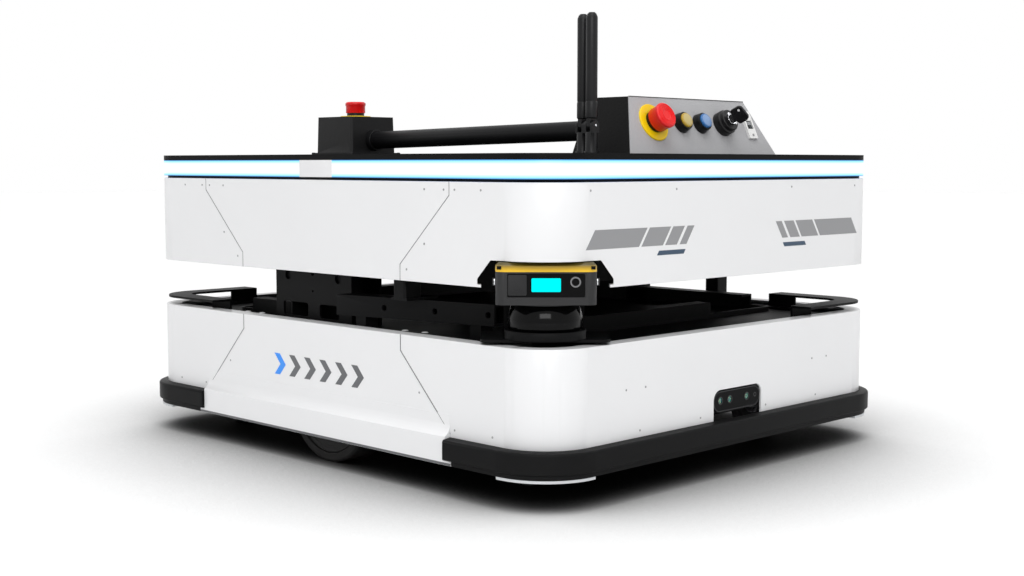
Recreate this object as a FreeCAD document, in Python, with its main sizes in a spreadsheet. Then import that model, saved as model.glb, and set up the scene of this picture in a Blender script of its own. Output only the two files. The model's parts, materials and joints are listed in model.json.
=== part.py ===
"""Autonomous mobile robot: a low two-deck carrier with drive wheels, casters, scanners and a console.

Frame: the origin lies on the floor under the middle of the robot, +X is the way it drives,
+Y is its left-hand side and +Z is up. All sizes are millimetres and degrees.
"""
import FreeCAD, Part
import math
import os

import Sketcher
from FreeCAD import Placement, Rotation, Vector

SIZES = {
    # Body outline and levels above the floor
    "skirt_length": 750.0,
    "skirt_width": 628.0,
    "corner_radius": 61.0,
    "cover_wall": 3.0,
    "skirt_bottom": 34.0,
    "lower_cover_top": 167.7,
    "upper_cover_bottom": 227.5,
    "upper_cover_top": 337.0,
    "shadow_gap": 3.2,
    "band_height": 19.9,
    "band_wall": 5.0,
    "top_plate_thick": 6.6,
    "seat_gap": 0.3,
    # Seams between the end covers and the side covers
    "seam_wide": 231.4,
    "seam_narrow": 151.0,
    "lower_kink_top": 149.7,
    "lower_kink_bottom": 67.9,
    "upper_kink_top": 322.5,
    "upper_kink_bottom": 245.6,
    "seam_gap": 0.5,
    "cover_flange": 20.0,
    "sill_out": 8.0,
    "sill_half": 241.0,
    "sill_crease": 64.6,
    "sill_flare_top": 76.0,
    "sill_flare_round": 14.0,
    "lip_top": 39.2,
    "flare_lip": 0.4,
    "flare_rise": 4.0,
    "flare_lap": 12.0,
    # Scanner window and depth camera window
    "window_top": 256.6,
    "window_top_half": 57.0,
    "window_bottom_half": 71.0,
    "window_kink": 236.5,
    "window_tab": 4.0,
    "camera_offset": 8.0,
    "camera_width": 90.0,
    "camera_height": 25.0,
    "camera_depth": 25.0,
    "camera_level": 84.0,
    "camera_margin": 1.5,
    # Light band and top plate
    "block_half": 31.0,
    "block_gap": 0.1,
    "fixing_x": 150.0,
    "fixing_y": 200.0,
    "fixing_radius": 4.25,
    "seat_recess": 1.0,
    "recess_margin": 0.3,
    # Bumpers
    "bumper_out": 12.0,
    "bumper_bottom": 39.8,
    "bumper_top": 63.4,
    "bumper_start": 232.0,
    "bumper_round": 3.0,
    "rail_out": 8.0,
    "rail_top": 39.5,
    "pad_thick": 3.0,
    "pad_width": 14.0,
    "bumper_slope": 1.5,
    # Chassis
    "chassis_level": 104.0,
    "chassis_thick": 5.0,
    "tub_half_length": 175.0,
    "tub_half_width": 140.0,
    "tub_bottom": 30.0,
    "tub_wall": 3.0,
    "deck_level": 157.0,
    "deck_thick": 3.0,
    "bay_half_length": 86.0,
    "bay_inner": 150.0,
    "beam_width": 30.0,
    "beam_place": 190.0,
    "beam_setback": 45.0,
    "battery_height": 112.0,
    "rim_setback": 125.0,
    "rim_inset": 59.0,
    "rim_lip": 22.0,
    "rim_step": 34.0,
    "rim_corner_cut": 50.0,
    "battery_margin": 15.0,
    "battery_bend": 8.0,
    "battery_lid": 4.0,
    "battery_lid_bend": 4.0,
    "battery_lid_end": 30.0,
    "battery_lid_side": 12.0,
    "rim_bend": 12.0,
    "rim_foot": 6.0,
    "slot_margin": 2.0,
    # Drive
    "wheel_radius": 76.0,
    "wheel_width": 40.0,
    "wheel_inset": 14.0,
    "hub_radius": 65.0,
    "shaft_radius": 10.0,
    "motor_radius": 28.0,
    "gearbox_radius": 32.0,
    "hub_setback": 1.5,
    "hub_web": 14.0,
    "hub_nose_wall": 14.0,
    "rim_wall": 8.0,
    "tyre_round": 2.5,
    "shaft_reach": 24.0,
    "plate_gap": 4.0,
    "motor_plate_half": 60.0,
    "motor_plate_thick": 6.0,
    "gearbox_length": 40.0,
    "hub_back": 2.0,
    "hub_nose_back": 4.0,
    "hub_edge": 1.5,
    "hub_dish": 4.0,
    "bore_spare": 2.0,
    "motor_gap": 4.0,
    "boss_gap": 1.0,
    # Casters
    "caster_setback": 97.0,
    "caster_inset": 99.0,
    "caster_radius": 37.5,
    "caster_width": 24.0,
    "caster_trail": 22.0,
    "axle_radius": 4.0,
    "fork_wall": 3.0,
    "pivot_clearance": 0.06,
    "kingpin_radius": 6.0,
    "caster_plate": 3.0,
    "caster_plate_half": 36.0,
    "caster_race": 8.0,
    "crown_thick": 5.0,
    "crown_radius": 26.0,
    "fork_side_gap": 1.0,
    "kingpin_nut": 3.0,
    "caster_plate_bend": 6.0,
    "race_radius": 24.0,
    "kingpin_nut_wall": 3.0,
    "leg_inset": 7.0,
    "leg_foot_half": 9.0,
    "leg_foot_drop": 7.0,
    "leg_foot_bend": 6.0,
    "axle_end": 2.0,
    "caster_hub_wall": 5.0,
    "caster_rim_wall": 12.0,
    "caster_dish": 4.0,
    "caster_dish_lean": 2.0,
    "caster_hub_shy": 0.3,
    "tread_edge": 3.5,
    # Towers, posts and inner frame
    "tower_front": -131.0,
    "tower_back": 20.0,
    "tower_inset": 36.0,
    "tower_depth": 50.0,
    "tower_sheet": 3.0,
    "post_start": 122.0,
    "post_width": 21.0,
    "post_inset": 14.0,
    "post_depth": 25.0,
    "scanner_beam_level": 179.0,
    "scanner_beam_height": 24.0,
    "rim_top": 180.0,
    "cross_beam_lap": 4.0,
    "tower_hole_shift": 50.0,
    "tower_hole_level": 218.0,
    "tower_hole": 6.0,
    "cross_beam_bottom": 204.0,
    "cross_beam_height": 36.0,
    "cross_beam_width": 30.0,
    "scanner_beam_setback": 133.0,
    "scanner_beam_inset": 12.0,
    "scanner_beam_width": 30.0,
    "scanner_beam_lead": 44.4,
    "scanner_beam_hole": 92.0,
    "scanner_beam_pitch": 71.0,
    "beam_hole_radius": 3.5,
    "beam_foot_half": 9.0,
    "post_foot_thick": 3.0,
    "post_foot_lap": 22.0,
    "frame_inset": 5.0,
    "frame_border": 70.0,
    "frame_web": 60.0,
    "cabinet_half_length": 110.0,
    "cabinet_half_width": 120.0,
    "cabinet_height": 85.0,
    "tower_return": 12.0,
    "tower_web_place": 26.0,
    "tower_plate_margin": 4.0,
    "tower_eye_rise": 4.0,
    "tower_eye_drop": 18.0,
    "window_sill": 8.0,
    "window_rise": 17.0,
    "window_bend": 4.0,
    "front_window_start": 15.0,
    "front_window_wide": 51.0,
    "back_window_start": 24.0,
    "back_window_wide": 38.0,
    "tower_gap": 2.0,
    "frame_bend": 20.0,
    "channel_wall": 1.0,
    "spacer_near": 60.0,
    "spacer_wide": 40.0,
    "spacer_margin": 10.0,
    "cabinet_bend": 5.0,
    # Corner guard
    "guard_level": 176.5,
    "guard_thick": 3.0,
    "guard_inset": 3.0,
    "guard_width": 30.0,
    "guard_arm_setback": 149.0,
    "guard_arm_inset": 153.0,
    "guard_leg": 42.0,
    "guard_foot": 12.0,
    # Laser scanner
    "scanner_width": 104.0,
    "scanner_depth": 101.0,
    "scanner_reach": 50.0,
    "scanner_bottom": 212.0,
    "scanner_cap_bottom": 246.0,
    "scanner_top": 255.6,
    "dome_radius": 40.0,
    "dome_bottom": 183.0,
    "dome_place": 5.0,
    "head_round": 9.0,
    "head_back_round": 4.0,
    "panel_half": 40.0,
    "panel_rise": 8.0,
    "panel_drop": 1.5,
    "panel_recess": 1.5,
    "side_bolt_inset": 14.0,
    "side_bolt_drop": 11.0,
    "side_bolt_proud": 3.0,
    "side_bolt_radius": 4.0,
    "neck_height": 2.0,
    "dome_taper": 4.5,
    "cap_bevel": 3.5,
    "disc_height": 9.0,
    "disc_margin": 3.0,
    "bracket_sheet": 3.0,
    "bracket_margin": 16.0,
    "bracket_front": 26.0,
    "bracket_round": 8.0,
    "bracket_foot": 10.0,
    "hanger_inset": 8.0,
    "window_edge": 1.5,
    "window_edge_rise": 4.0,
    "foot_margin": 2.0,
    # Depth camera
    "camera_setback": 2.0,
    "camera_flange": 25.0,
    "eye_right": -31.5,
    "eye_projector": -13.5,
    "eye_left": 19.5,
    "eye_colour": 35.5,
    "eye_depth": 1.5,
    "eye_radius": 4.5,
    "colour_eye_radius": 2.5,
    "eye_rise": 1.0,
    # Console
    "console_rear_setback": 130.0,
    "console_setback": 42.0,
    "console_slope": 29.0,
    "console_half_low": 137.0,
    "console_half_high": 107.0,
    "console_height": 64.3,
    "panel_thick": 2.0,
    # Controls
    "stop_plate_radius": 22.5,
    "stop_plate_thick": 1.9,
    "stop_collar_radius": 12.7,
    "stop_collar_height": 9.5,
    "stop_guide_gap": 0.4,
    "stop_spare": 0.5,
    "stop_head_low": 6.5,
    "stop_head_top": 22.0,
    "button_gap": 0.3,
    "button_proud": 2.5,
    "bezel_height": 9.0,
    "bezel_floor": 1.0,
    "switch_radius": 15.0,
    "switch_step": 10.0,
    "switch_height": 15.0,
    "switch_floor": 4.0,
    "key_core_radius": 7.0,
    "key_rest_angle": 35.0,
    "key_neck_half": 5.0,
    "key_bow_half": 10.0,
    "key_height": 37.0,
    "key_thick": 3.2,
    "port_plate_tall": 36.0,
    "port_plate_wide": 16.0,
    "port_plate_thick": 3.0,
    "socket_half": 5.5,
    "stop_y": -80.6,
    "button_a_y": -31.0,
    "button_b_y": 4.8,
    "key_y": 46.9,
    "port_y": 100.0,
    "controls_rise": 35.0,
    "stop_radius": 15.0,
    "stop_travel": 4.0,
    "button_radius": 8.7,
    "button_travel": 2.5,
    "head_rim": 0.8,
    "head_flare_low": 6.0,
    "head_flare_high": 4.0,
    "head_edge": 1.5,
    "head_dish": 6.0,
    "head_dish_lean": 1.0,
    "head_dish_deep": 0.6,
    "plate_edge": 0.6,
    "button_edge": 0.8,
    "bezel_low_wall": 3.3,
    "bezel_high_wall": 1.6,
    "switch_edge": 1.0,
    "switch_step_in": 1.8,
    "key_core_proud": 1.5,
    "key_shoulder": 4.0,
    "key_shoulder_lean": 2.0,
    "key_bow_bend": 5.0,
    "key_foot_bend": 2.0,
    "port_bend": 1.0,
    "socket_floor": 1.0,
    # Rear stop box, conduit and antennas
    "box_setback": 60.0,
    "box_side": 82.0,
    "box_height": 57.0,
    "box_draft": 1.2,
    "box_flange": 95.0,
    "box_flange_thick": 5.0,
    "conduit_radius": 12.5,
    "conduit_low": 22.8,
    "conduit_high": 32.0,
    "antenna_a_setback": 99.0,
    "antenna_a_inset": 161.0,
    "antenna_b_setback": 79.0,
    "antenna_b_inset": 153.0,
    "antenna_radius": 6.7,
    "antenna_pin_rise": 31.0,
    "antenna_length": 153.5,
    "knuckle_slot": 6.0,
    "knuckle_gap": 0.5,
    "knuckle_pin": 1.5,
    "cheek_half": 5.6,
    "mast_step": 55.5,
    "mast_tip_radius": 5.3,
    "box_bend": 3.0,
    "flange_bend": 4.0,
    "antenna_nut_wall": 1.2,
    "antenna_nut_high": 3.0,
    "cheek_setback": 0.3,
    "cheek_overlap": 1.0,
    "tongue_shy": 0.2,
    "tongue_overlap": 2.0,
    "mast_edge": 1.0,
    "mast_foot_gap": 0.4,
    "mast_step_high": 4.0,
    "mast_step_in": 1.0,
    "mast_tip_edge": 2.0,
}


class Size:
    """A number together with the spreadsheet formula that it comes from."""

    def __init__(self, value, text):
        self.value = value
        self.text = text

    @staticmethod
    def of(item):
        """Return item as a Size, so that sizes and plain numbers can be mixed."""
        return item if isinstance(item, Size) else Size(float(item), f"{float(item)!r}")

    def _join(self, other, sign, value):
        return Size(value, f"({self.text} {sign} {other.text})")

    def __add__(self, other):
        other = Size.of(other)
        return self._join(other, "+", self.value + other.value)

    def __sub__(self, other):
        other = Size.of(other)
        return self._join(other, "-", self.value - other.value)

    def __mul__(self, other):
        other = Size.of(other)
        return self._join(other, "*", self.value * other.value)

    def __truediv__(self, other):
        other = Size.of(other)
        return self._join(other, "/", self.value / other.value)

    def __radd__(self, other):
        return Size.of(other) + self

    def __rsub__(self, other):
        return Size.of(other) - self

    def __rmul__(self, other):
        return Size.of(other) * self

    def __neg__(self):
        return Size(-self.value, f"(0 - {self.text})")


# A round end takes a little less than half the width, so that a short flat stays between its arcs.
FULL_ROUND = 0.99

doc = FreeCAD.newDocument("autonomous_mobile_robot")
sheet = doc.addObject("Spreadsheet::Sheet", "Sizes")
s = {}
for row, (alias, number) in enumerate(SIZES.items(), start=1):
    sheet.set(f"A{row}", alias)
    sheet.set(f"B{row}", str(number))
    sheet.setAlias(f"B{row}", alias)
    s[alias] = Size(number, f"Sizes.{alias}")
doc.recompute()

parts = []


def bind(item, path, size):
    """Tie one property of a document object to a size."""
    size = Size.of(size)
    item.setExpression(path, size.text)


def keep(item, name, place=None):
    """Register a finished sub-part under its own label."""
    item.Label = name
    if place is not None:
        item.Placement = place
    parts.append(item)
    return item


def turned(degrees, x=0.0, y=0.0, z=0.0):
    """A placement at (x, y, z), turned about the vertical."""
    x, y, z = (Size.of(value).value for value in (x, y, z))
    return Placement(Vector(x, y, z), Rotation(Vector(0, 0, 1), degrees))


def in_order(first, second):
    """Two sizes, the smaller one first."""
    first, second = Size.of(first), Size.of(second)
    return (first, second) if first.value <= second.value else (second, first)


def new_body(name):
    body = doc.addObject("PartDesign::Body", name)
    body.AllowCompound = True
    return body


def new_sketch(body, plane, name, lift=0.0):
    """A sketch on one of the body's own origin planes, lifted along that plane's normal."""
    sketch = body.newObject("Sketcher::SketchObject", name)
    base = [item for item in body.Origin.OriginFeatures if item.Role == plane][0]
    sketch.AttachmentSupport = [(base, "")]
    sketch.MapMode = "FlatFace"
    bind(sketch, "AttachmentOffset.Base.z", lift)
    return sketch


def hold(sketch, geometry, position, point):
    """Fix a point of the sketch at (u, v), each a size or a number."""
    for axis, kind, size in ((-2, "DistanceX", point[0]), (-1, "DistanceY", point[1])):
        size = Size.of(size)
        if size.text == "0.0":
            sketch.addConstraint(Sketcher.Constraint("PointOnObject", geometry, position, axis))
            continue
        constraint = Sketcher.Constraint(kind, -1, 1, geometry, position, size.value)
        index = sketch.addConstraint(constraint)
        sketch.setExpression(f"Constraints[{index}]", size.text)


def ring(sketch, centre, radius):
    """A circle with its centre and radius tied to sizes."""
    centre = (Size.of(centre[0]), Size.of(centre[1]))
    radius = Size.of(radius)
    middle = Vector(centre[0].value, centre[1].value, 0)
    circle = sketch.addGeometry(Part.Circle(middle, Vector(0, 0, 1), radius.value), False)
    hold(sketch, circle, 3, centre)
    index = sketch.addConstraint(Sketcher.Constraint("Radius", circle, radius.value))
    sketch.setExpression(f"Constraints[{index}]", radius.text)


def outline(sketch, corners, closed=True):
    """A run of straight lines through corners (u, v) or (u, v, round), with rounded corners as arcs."""
    spots = []
    for corner in corners:
        u, v = Size.of(corner[0]), Size.of(corner[1])
        bend = Size.of(corner[2]) if len(corner) > 2 else None
        spots.append((Vector(u.value, v.value, 0), (u, v), bend))
    count = len(spots)
    enter, leave = [], []
    for index, (spot, _, bend) in enumerate(spots):
        if bend is None or bend.value <= 0:
            enter.append(spot)
            leave.append(spot)
            continue
        back = (spots[index - 1][0] - spot).normalize()
        ahead = (spots[(index + 1) % count][0] - spot).normalize()
        setback = bend.value / math.tan(back.getAngle(ahead) / 2)
        enter.append(spot + back * setback)
        leave.append(spot + ahead * setback)
    lines = []
    for index in range(count if closed else count - 1):
        line = Part.LineSegment(leave[index], enter[(index + 1) % count])
        lines.append(sketch.addGeometry(line, False))
    for index, (spot, sizes, bend) in enumerate(spots):
        after = lines[index] if closed or index < count - 1 else None
        before = lines[index - 1] if closed or index > 0 else None
        if bend is None or bend.value <= 0:
            if before is not None and after is not None:
                sketch.addConstraint(Sketcher.Constraint("Coincident", before, 2, after, 1))
            hold(sketch, *((after, 1) if after is not None else (before, 2)), sizes)
            continue
        start, end = enter[index], leave[index]
        inward = ((start - spot) + (end - spot)).normalize()
        reach = math.hypot(bend.value, (start - spot).Length)
        middle = spot + inward * reach
        left_turn = (spot - start).cross(end - spot).z > 0
        first, last = (start, end) if left_turn else (end, start)
        angles = [math.atan2(point.y - middle.y, point.x - middle.x) for point in (first, last)]
        circle = Part.Circle(middle, Vector(0, 0, 1), bend.value)
        arc = sketch.addGeometry(Part.ArcOfCircle(circle, angles[0], angles[1]), False)
        near, far = (1, 2) if left_turn else (2, 1)
        sketch.addConstraint(Sketcher.Constraint("Tangent", before, 2, arc, near))
        sketch.addConstraint(Sketcher.Constraint("Tangent", arc, far, after, 1))
        radius = sketch.addConstraint(Sketcher.Constraint("Radius", arc, bend.value))
        sketch.setExpression(f"Constraints[{radius}]", bend.text)
        corner_point = sketch.addGeometry(Part.Point(spot), True)
        hold(sketch, corner_point, 1, sizes)
        sketch.addConstraint(Sketcher.Constraint("PointOnObject", corner_point, 1, before))
        sketch.addConstraint(Sketcher.Constraint("PointOnObject", corner_point, 1, after))


def rectangle(sketch, low, high, bend=None):
    """A rectangle from its low corner to its high corner, with its corners rounded if asked."""
    extra = () if bend is None else (bend,)
    outline(sketch, [(low[0], low[1]) + extra, (high[0], low[1]) + extra,
                     (high[0], high[1]) + extra, (low[0], high[1]) + extra])


def body_outline(sketch, inset):
    """The rounded plan outline of the robot, moved inwards by inset (or outwards if negative)."""
    half_x = s["skirt_length"] / 2 - inset
    half_y = s["skirt_width"] / 2 - inset
    rectangle(sketch, (-half_x, -half_y), (half_x, half_y), s["corner_radius"] - inset)


def pad(body, sketch, length, name, both=False, back=False, taper=None):
    """Push a sketch out into a solid: along its normal, both ways, or backwards."""
    feature = body.newObject("PartDesign::Pad", name)
    feature.Profile = sketch
    bind(feature, "Length", length)
    feature.SideType = "Symmetric" if both else "One side"
    feature.Reversed = back
    if taper is not None:
        bind(feature, "TaperAngle", taper)
    return feature


def pocket(body, sketch, length, name, both=False, back=False):
    """Cut a sketch out of the body: against its normal, both ways, or along it if back is set."""
    feature = body.newObject("PartDesign::Pocket", name)
    feature.Profile = sketch
    bind(feature, "Length", length)
    feature.SideType = "Symmetric" if both else "One side"
    feature.Reversed = back
    return feature


def revolve(body, sketch, name, axis="V_Axis"):
    """Turn a profile all the way round one of its sketch axes."""
    feature = body.newObject("PartDesign::Revolution", name)
    feature.Profile = sketch
    feature.ReferenceAxis = (sketch, [axis])
    feature.Angle = 360.0
    return feature


def loft(body, sketches, name):
    """Join two or more outlines with flat sides."""
    feature = body.newObject("PartDesign::AdditiveLoft", name)
    feature.Profile = sketches[0]
    feature.Sections = list(sketches[1:])
    feature.Ruled = True
    return feature


def slab(body, low, high, bottom, height, name, bend=None):
    """A plate or block with a rectangular plan."""
    sketch = new_sketch(body, "XY_Plane", f"{name}Plan", bottom)
    rectangle(sketch, low, high, bend)
    return pad(body, sketch, height, name)


def skin_ring(body, outer_inset, inner_inset, bottom, height, name):
    """A closed wall that follows the plan outline."""
    sketch = new_sketch(body, "XY_Plane", f"{name}Plan", bottom)
    body_outline(sketch, outer_inset)
    body_outline(sketch, inner_inset)
    return pad(body, sketch, height, name)


half_length = s["skirt_length"] / 2
half_width = s["skirt_width"] / 2
corner_x = half_length - s["corner_radius"]
corner_y = half_width - s["corner_radius"]
band_bottom = s["upper_cover_top"] + s["shadow_gap"]
plate_bottom = band_bottom + s["band_height"]
plate_top = plate_bottom + s["top_plate_thick"]
deck_top = s["deck_level"] + s["deck_thick"]
chassis_top = s["chassis_level"] + s["chassis_thick"]
whole_width = s["skirt_width"] * 2
wheel_face = half_width - s["wheel_inset"]
wheel_back = wheel_face - s["wheel_width"]
tower_plane = half_width - s["tower_inset"]
post_plane = half_width - s["post_inset"]
caster_x = half_length - s["caster_setback"]
caster_y = half_width - s["caster_inset"]
rim_x = half_length - s["rim_setback"]
rim_y = half_width - s["rim_inset"]
console_rear = half_length - s["console_rear_setback"]
console_low = half_length - s["console_setback"]
console_high = console_low - s["console_slope"]
box_x = s["box_setback"] - half_length


# --- Covers -----------------------------------------------------------------------------------

def keep_ahead_of_seam(body, low_half, kink_low, kink_high, high_half, bottom, top):
    """Cut away the part of a closed skin that lies behind the seam with the side covers."""
    sketch = new_sketch(body, "XZ_Plane", "SeamSide")
    rear = -s["skirt_length"]
    outline(sketch, [(rear, bottom - 5), (low_half, bottom - 5), (low_half, kink_low),
                     (high_half, kink_high), (high_half, top + 5), (rear, top + 5)])
    pocket(body, sketch, whole_width, "SeamCut", both=True)


def scanner_window(body):
    """Cut the trapezoid window for the scanner through the front right corner."""
    cutter = new_sketch(body, "YZ_Plane", "WindowFace", 0)
    cutter.MapMode = "Deactivated"
    cutter.setExpression("AttachmentOffset.Base.z", None)
    axis = Rotation(Vector(0, 0, 1), -45) * Rotation(Vector(1, 1, 1), 120)
    cutter.Placement = Placement(Vector(corner_x.value, -corner_y.value, 0), axis)
    bind(cutter, "Placement.Base.x", corner_x)
    bind(cutter, "Placement.Base.y", -corner_y)
    low = s["upper_cover_bottom"]
    tab = s["window_bottom_half"] - s["window_tab"]
    tab_top = low + s["cover_wall"]
    right = [(tab, low - 5), (tab, tab_top), (s["window_bottom_half"], tab_top),
             (s["window_bottom_half"], s["window_kink"]), (s["window_top_half"], s["window_top"])]
    left = [(-u, v) for u, v in reversed(right)]
    outline(cutter, right + left)
    pocket(body, cutter, s["corner_radius"] * 2, "Window", back=True)


def lower_end_cover(name, turn, with_camera):
    """One U-shaped end of the lower skirt, with its top flange."""
    body = new_body(name)
    bottom, top = s["skirt_bottom"], s["lower_cover_top"]
    skin_ring(body, 0, s["cover_wall"], bottom, top - bottom, "Wall")
    skin_ring(body, 0, s["cover_flange"], top - s["cover_wall"], s["cover_wall"], "Flange")
    gap = s["seam_gap"] / 2
    keep_ahead_of_seam(body, s["seam_wide"] + gap, s["lower_kink_bottom"], s["lower_kink_top"],
                       s["seam_narrow"] + gap, bottom, top)
    if with_camera:
        sketch = new_sketch(body, "YZ_Plane", "CameraWindowFace", half_length)
        reach = s["camera_width"] / 2 + s["camera_margin"]
        low = s["bumper_top"]
        high = s["camera_level"] + s["camera_height"] / 2 + s["camera_margin"]
        bend = s["camera_height"] / 2
        outline(sketch, [(s["camera_offset"] - reach, low - 2), (s["camera_offset"] + reach, low - 2),
                         (s["camera_offset"] + reach, high, bend),
                         (s["camera_offset"] - reach, high, bend)])
        pocket(body, sketch, s["cover_wall"] * 4, "CameraWindow")
    return keep(body, name, turned(turn))


def upper_end_cover(name, turn):
    """One U-shaped end of the upper skirt, with its flanges and its scanner window."""
    body = new_body(name)
    bottom, top = s["upper_cover_bottom"], s["upper_cover_top"]
    wall = s["cover_wall"]
    skin_ring(body, 0, wall, bottom, top - bottom, "Wall")
    skin_ring(body, 0, s["cover_flange"], top - wall, wall, "TopFlange")
    skin_ring(body, 0, s["cover_flange"] / 2, bottom, wall, "BottomFlange")
    gap = s["seam_gap"] / 2
    keep_ahead_of_seam(body, s["seam_narrow"] + gap, s["upper_kink_bottom"], s["upper_kink_top"],
                       s["seam_wide"] + gap, bottom, top)
    scanner_window(body)
    return keep(body, name, turned(turn))


def side_wall(body, low_half, kink_low, kink_high, high_half, bottom, top):
    """The flat wall of a side cover, between its two slanting seams (right-hand side)."""
    gap = s["seam_gap"] / 2
    sketch = new_sketch(body, "XZ_Plane", "WallFace", half_width - s["cover_wall"])
    right = [(low_half - gap, bottom), (low_half - gap, kink_low), (high_half - gap, kink_high),
             (high_half - gap, top)]
    left = [(-u, v) for u, v in reversed(right)]
    outline(sketch, right + left)
    pad(body, sketch, s["cover_wall"], "Wall")


def lower_side_cover(name, turn):
    """The middle of one long side of the lower skirt, with its flared sill."""
    body = new_body(name)
    bottom, top = s["skirt_bottom"], s["lower_cover_top"]
    wall, gap = s["cover_wall"], s["seam_gap"] / 2
    side_wall(body, s["seam_wide"], s["lower_kink_bottom"], s["lower_kink_top"],
              s["seam_narrow"], bottom, top)
    slab(body, (-(s["seam_narrow"] - gap), -half_width), (s["seam_narrow"] - gap,
         s["cover_flange"] - half_width), top - wall, wall, "Flange")
    sill_end = s["bumper_start"] - gap
    sill = new_sketch(body, "YZ_Plane", "SillSection")
    edge = -(half_width + s["sill_out"])
    outline(sill, [(-half_width, s["lip_top"]), (edge, s["lip_top"]), (edge, s["sill_crease"]),
                   (-half_width - s["flare_lip"], s["sill_crease"] + s["flare_rise"], s["sill_flare_round"]),
                   (-half_width - s["flare_lip"], s["sill_flare_top"] + s["flare_lap"]),
                   (-half_width, s["sill_flare_top"] + s["flare_lap"])])
    pad(body, sill, sill_end * 2, "Sill", both=True)
    slab(body, (-s["sill_half"], edge), (s["sill_half"], -half_width), bottom,
         s["lip_top"] - bottom, "Lip")
    return keep(body, name, turned(turn))


def upper_side_cover(name, turn):
    """The middle of one long side of the upper skirt."""
    body = new_body(name)
    bottom, top = s["upper_cover_bottom"], s["upper_cover_top"]
    wall, gap = s["cover_wall"], s["seam_gap"] / 2
    side_wall(body, s["seam_narrow"], s["upper_kink_bottom"], s["upper_kink_top"],
              s["seam_wide"], bottom, top)
    for label, half, level, width in (("TopFlange", s["seam_wide"], top - wall, s["cover_flange"]),
                                      ("BottomFlange", s["seam_narrow"], bottom, s["cover_flange"] / 2)):
        slab(body, (gap - half, -half_width), (half - gap, width - half_width), level, wall, label)
    return keep(body, name, turned(turn))


lower_end_cover("lower_cover_front", 0, True)
lower_end_cover("lower_cover_rear", 180, False)
lower_side_cover("lower_cover_right", 0)
lower_side_cover("lower_cover_left", 180)
upper_end_cover("upper_cover_front", 0)
upper_end_cover("upper_cover_rear", 180)
upper_side_cover("upper_cover_right", 0)
upper_side_cover("upper_cover_left", 180)


# --- Bumpers, light band and top plate --------------------------------------------------------

def front_path(body, inset, start, level):
    """A U-shaped path round the front of the robot, from one long side to the other."""
    path = new_sketch(body, "XY_Plane", "Path", level)
    half_x, half_y = half_length - inset, half_width - inset
    bend = s["corner_radius"] - inset
    outline(path, [(start, -half_y), (half_x, -half_y, bend), (half_x, half_y, bend),
                   (start, half_y)], closed=False)
    return path


def end_band(body, section, start, name="Band"):
    """A band of constant section wrapped round one end; section lists (outwards, up) corners."""
    path = front_path(body, 0, start, 0)
    profile = new_sketch(body, "YZ_Plane", "Section", start)
    outline(profile, [(-(half_width + corner[0]),) + tuple(corner[1:]) for corner in section])
    pipe = body.newObject("PartDesign::AdditivePipe", name)
    pipe.Profile = profile
    pipe.Spine = (path, [])
    return pipe


def bumper_section():
    low, high, out = s["bumper_bottom"], s["bumper_top"], s["bumper_out"]
    bend, shoulder = s["bumper_round"], high - s["bumper_slope"]
    return [(s["seat_gap"], low), (out, low, bend / 2), (out, shoulder, bend), (s["seat_gap"], high)]


def rail_section():
    low, high, out = s["skirt_bottom"], s["rail_top"], s["rail_out"]
    return [(s["seat_gap"], low), (out, low), (out, high), (s["seat_gap"], high)]


def bumper_rails():
    """The hard rails under the two rubber bumpers."""
    body = new_body("bumper_rails")
    rail = end_band(body, rail_section(), s["sill_half"] + s["seam_gap"], "Rail")
    pattern = body.newObject("PartDesign::PolarPattern", "BothEnds")
    pattern.Originals = [rail]
    upright = [item for item in body.Origin.OriginFeatures if item.Role == "Z_Axis"][0]
    pattern.Axis = (upright, [""])
    pattern.Angle = 360.0
    pattern.Occurrences = 2
    body.Tip = pattern
    return keep(body, "bumper_rails")


def corner_pads():
    """Four wear pads under the rounded corners of the skirt."""
    body = new_body("corner_pads")
    sketch = new_sketch(body, "XY_Plane", "Ring", s["skirt_bottom"] - s["pad_thick"])
    body_outline(sketch, -s["rail_out"])
    body_outline(sketch, s["pad_width"] - s["rail_out"])
    pad(body, sketch, s["pad_thick"], "PadRing")
    cuts = new_sketch(body, "XY_Plane", "Between", s["skirt_bottom"])
    reach = s["skirt_length"]
    rectangle(cuts, (-corner_x + 4, -reach), (corner_x - 4, reach))
    pocket(body, cuts, s["pad_thick"] * 2, "BetweenEnds")
    cuts = new_sketch(body, "XY_Plane", "Across", s["skirt_bottom"])
    rectangle(cuts, (-reach, 4 - corner_y), (reach, corner_y - 4))
    pocket(body, cuts, s["pad_thick"] * 2, "BetweenSides")
    return keep(body, "corner_pads")


def light_band():
    """The light guide under the top plate, with its two opaque blocks as solids of their own."""
    body = new_body("light_band")
    skin_ring(body, 0, s["band_wall"], band_bottom, s["band_height"], "Band")
    slots = new_sketch(body, "XY_Plane", "BlockSlots", plate_bottom)
    half, wall = s["block_half"], s["band_wall"]
    slot_half = half + s["block_gap"]
    rectangle(slots, (-slot_half, -s["skirt_length"]), (slot_half, s["skirt_length"]))
    pocket(body, slots, s["band_height"] * 2, "BlockSlots")
    blocks = new_sketch(body, "XY_Plane", "Blocks", band_bottom)
    for side in (-1, 1):
        near, far = side * half_width, side * (half_width - wall)
        rectangle(blocks, (-half, near), (half, far))
    pad(body, blocks, s["band_height"], "Blocks")
    return keep(body, "light_band")


def antenna_spot(label):
    """Where one antenna stands on the top plate."""
    return half_length - s[f"antenna_{label}_setback"], s[f"antenna_{label}_inset"] - half_width


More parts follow.
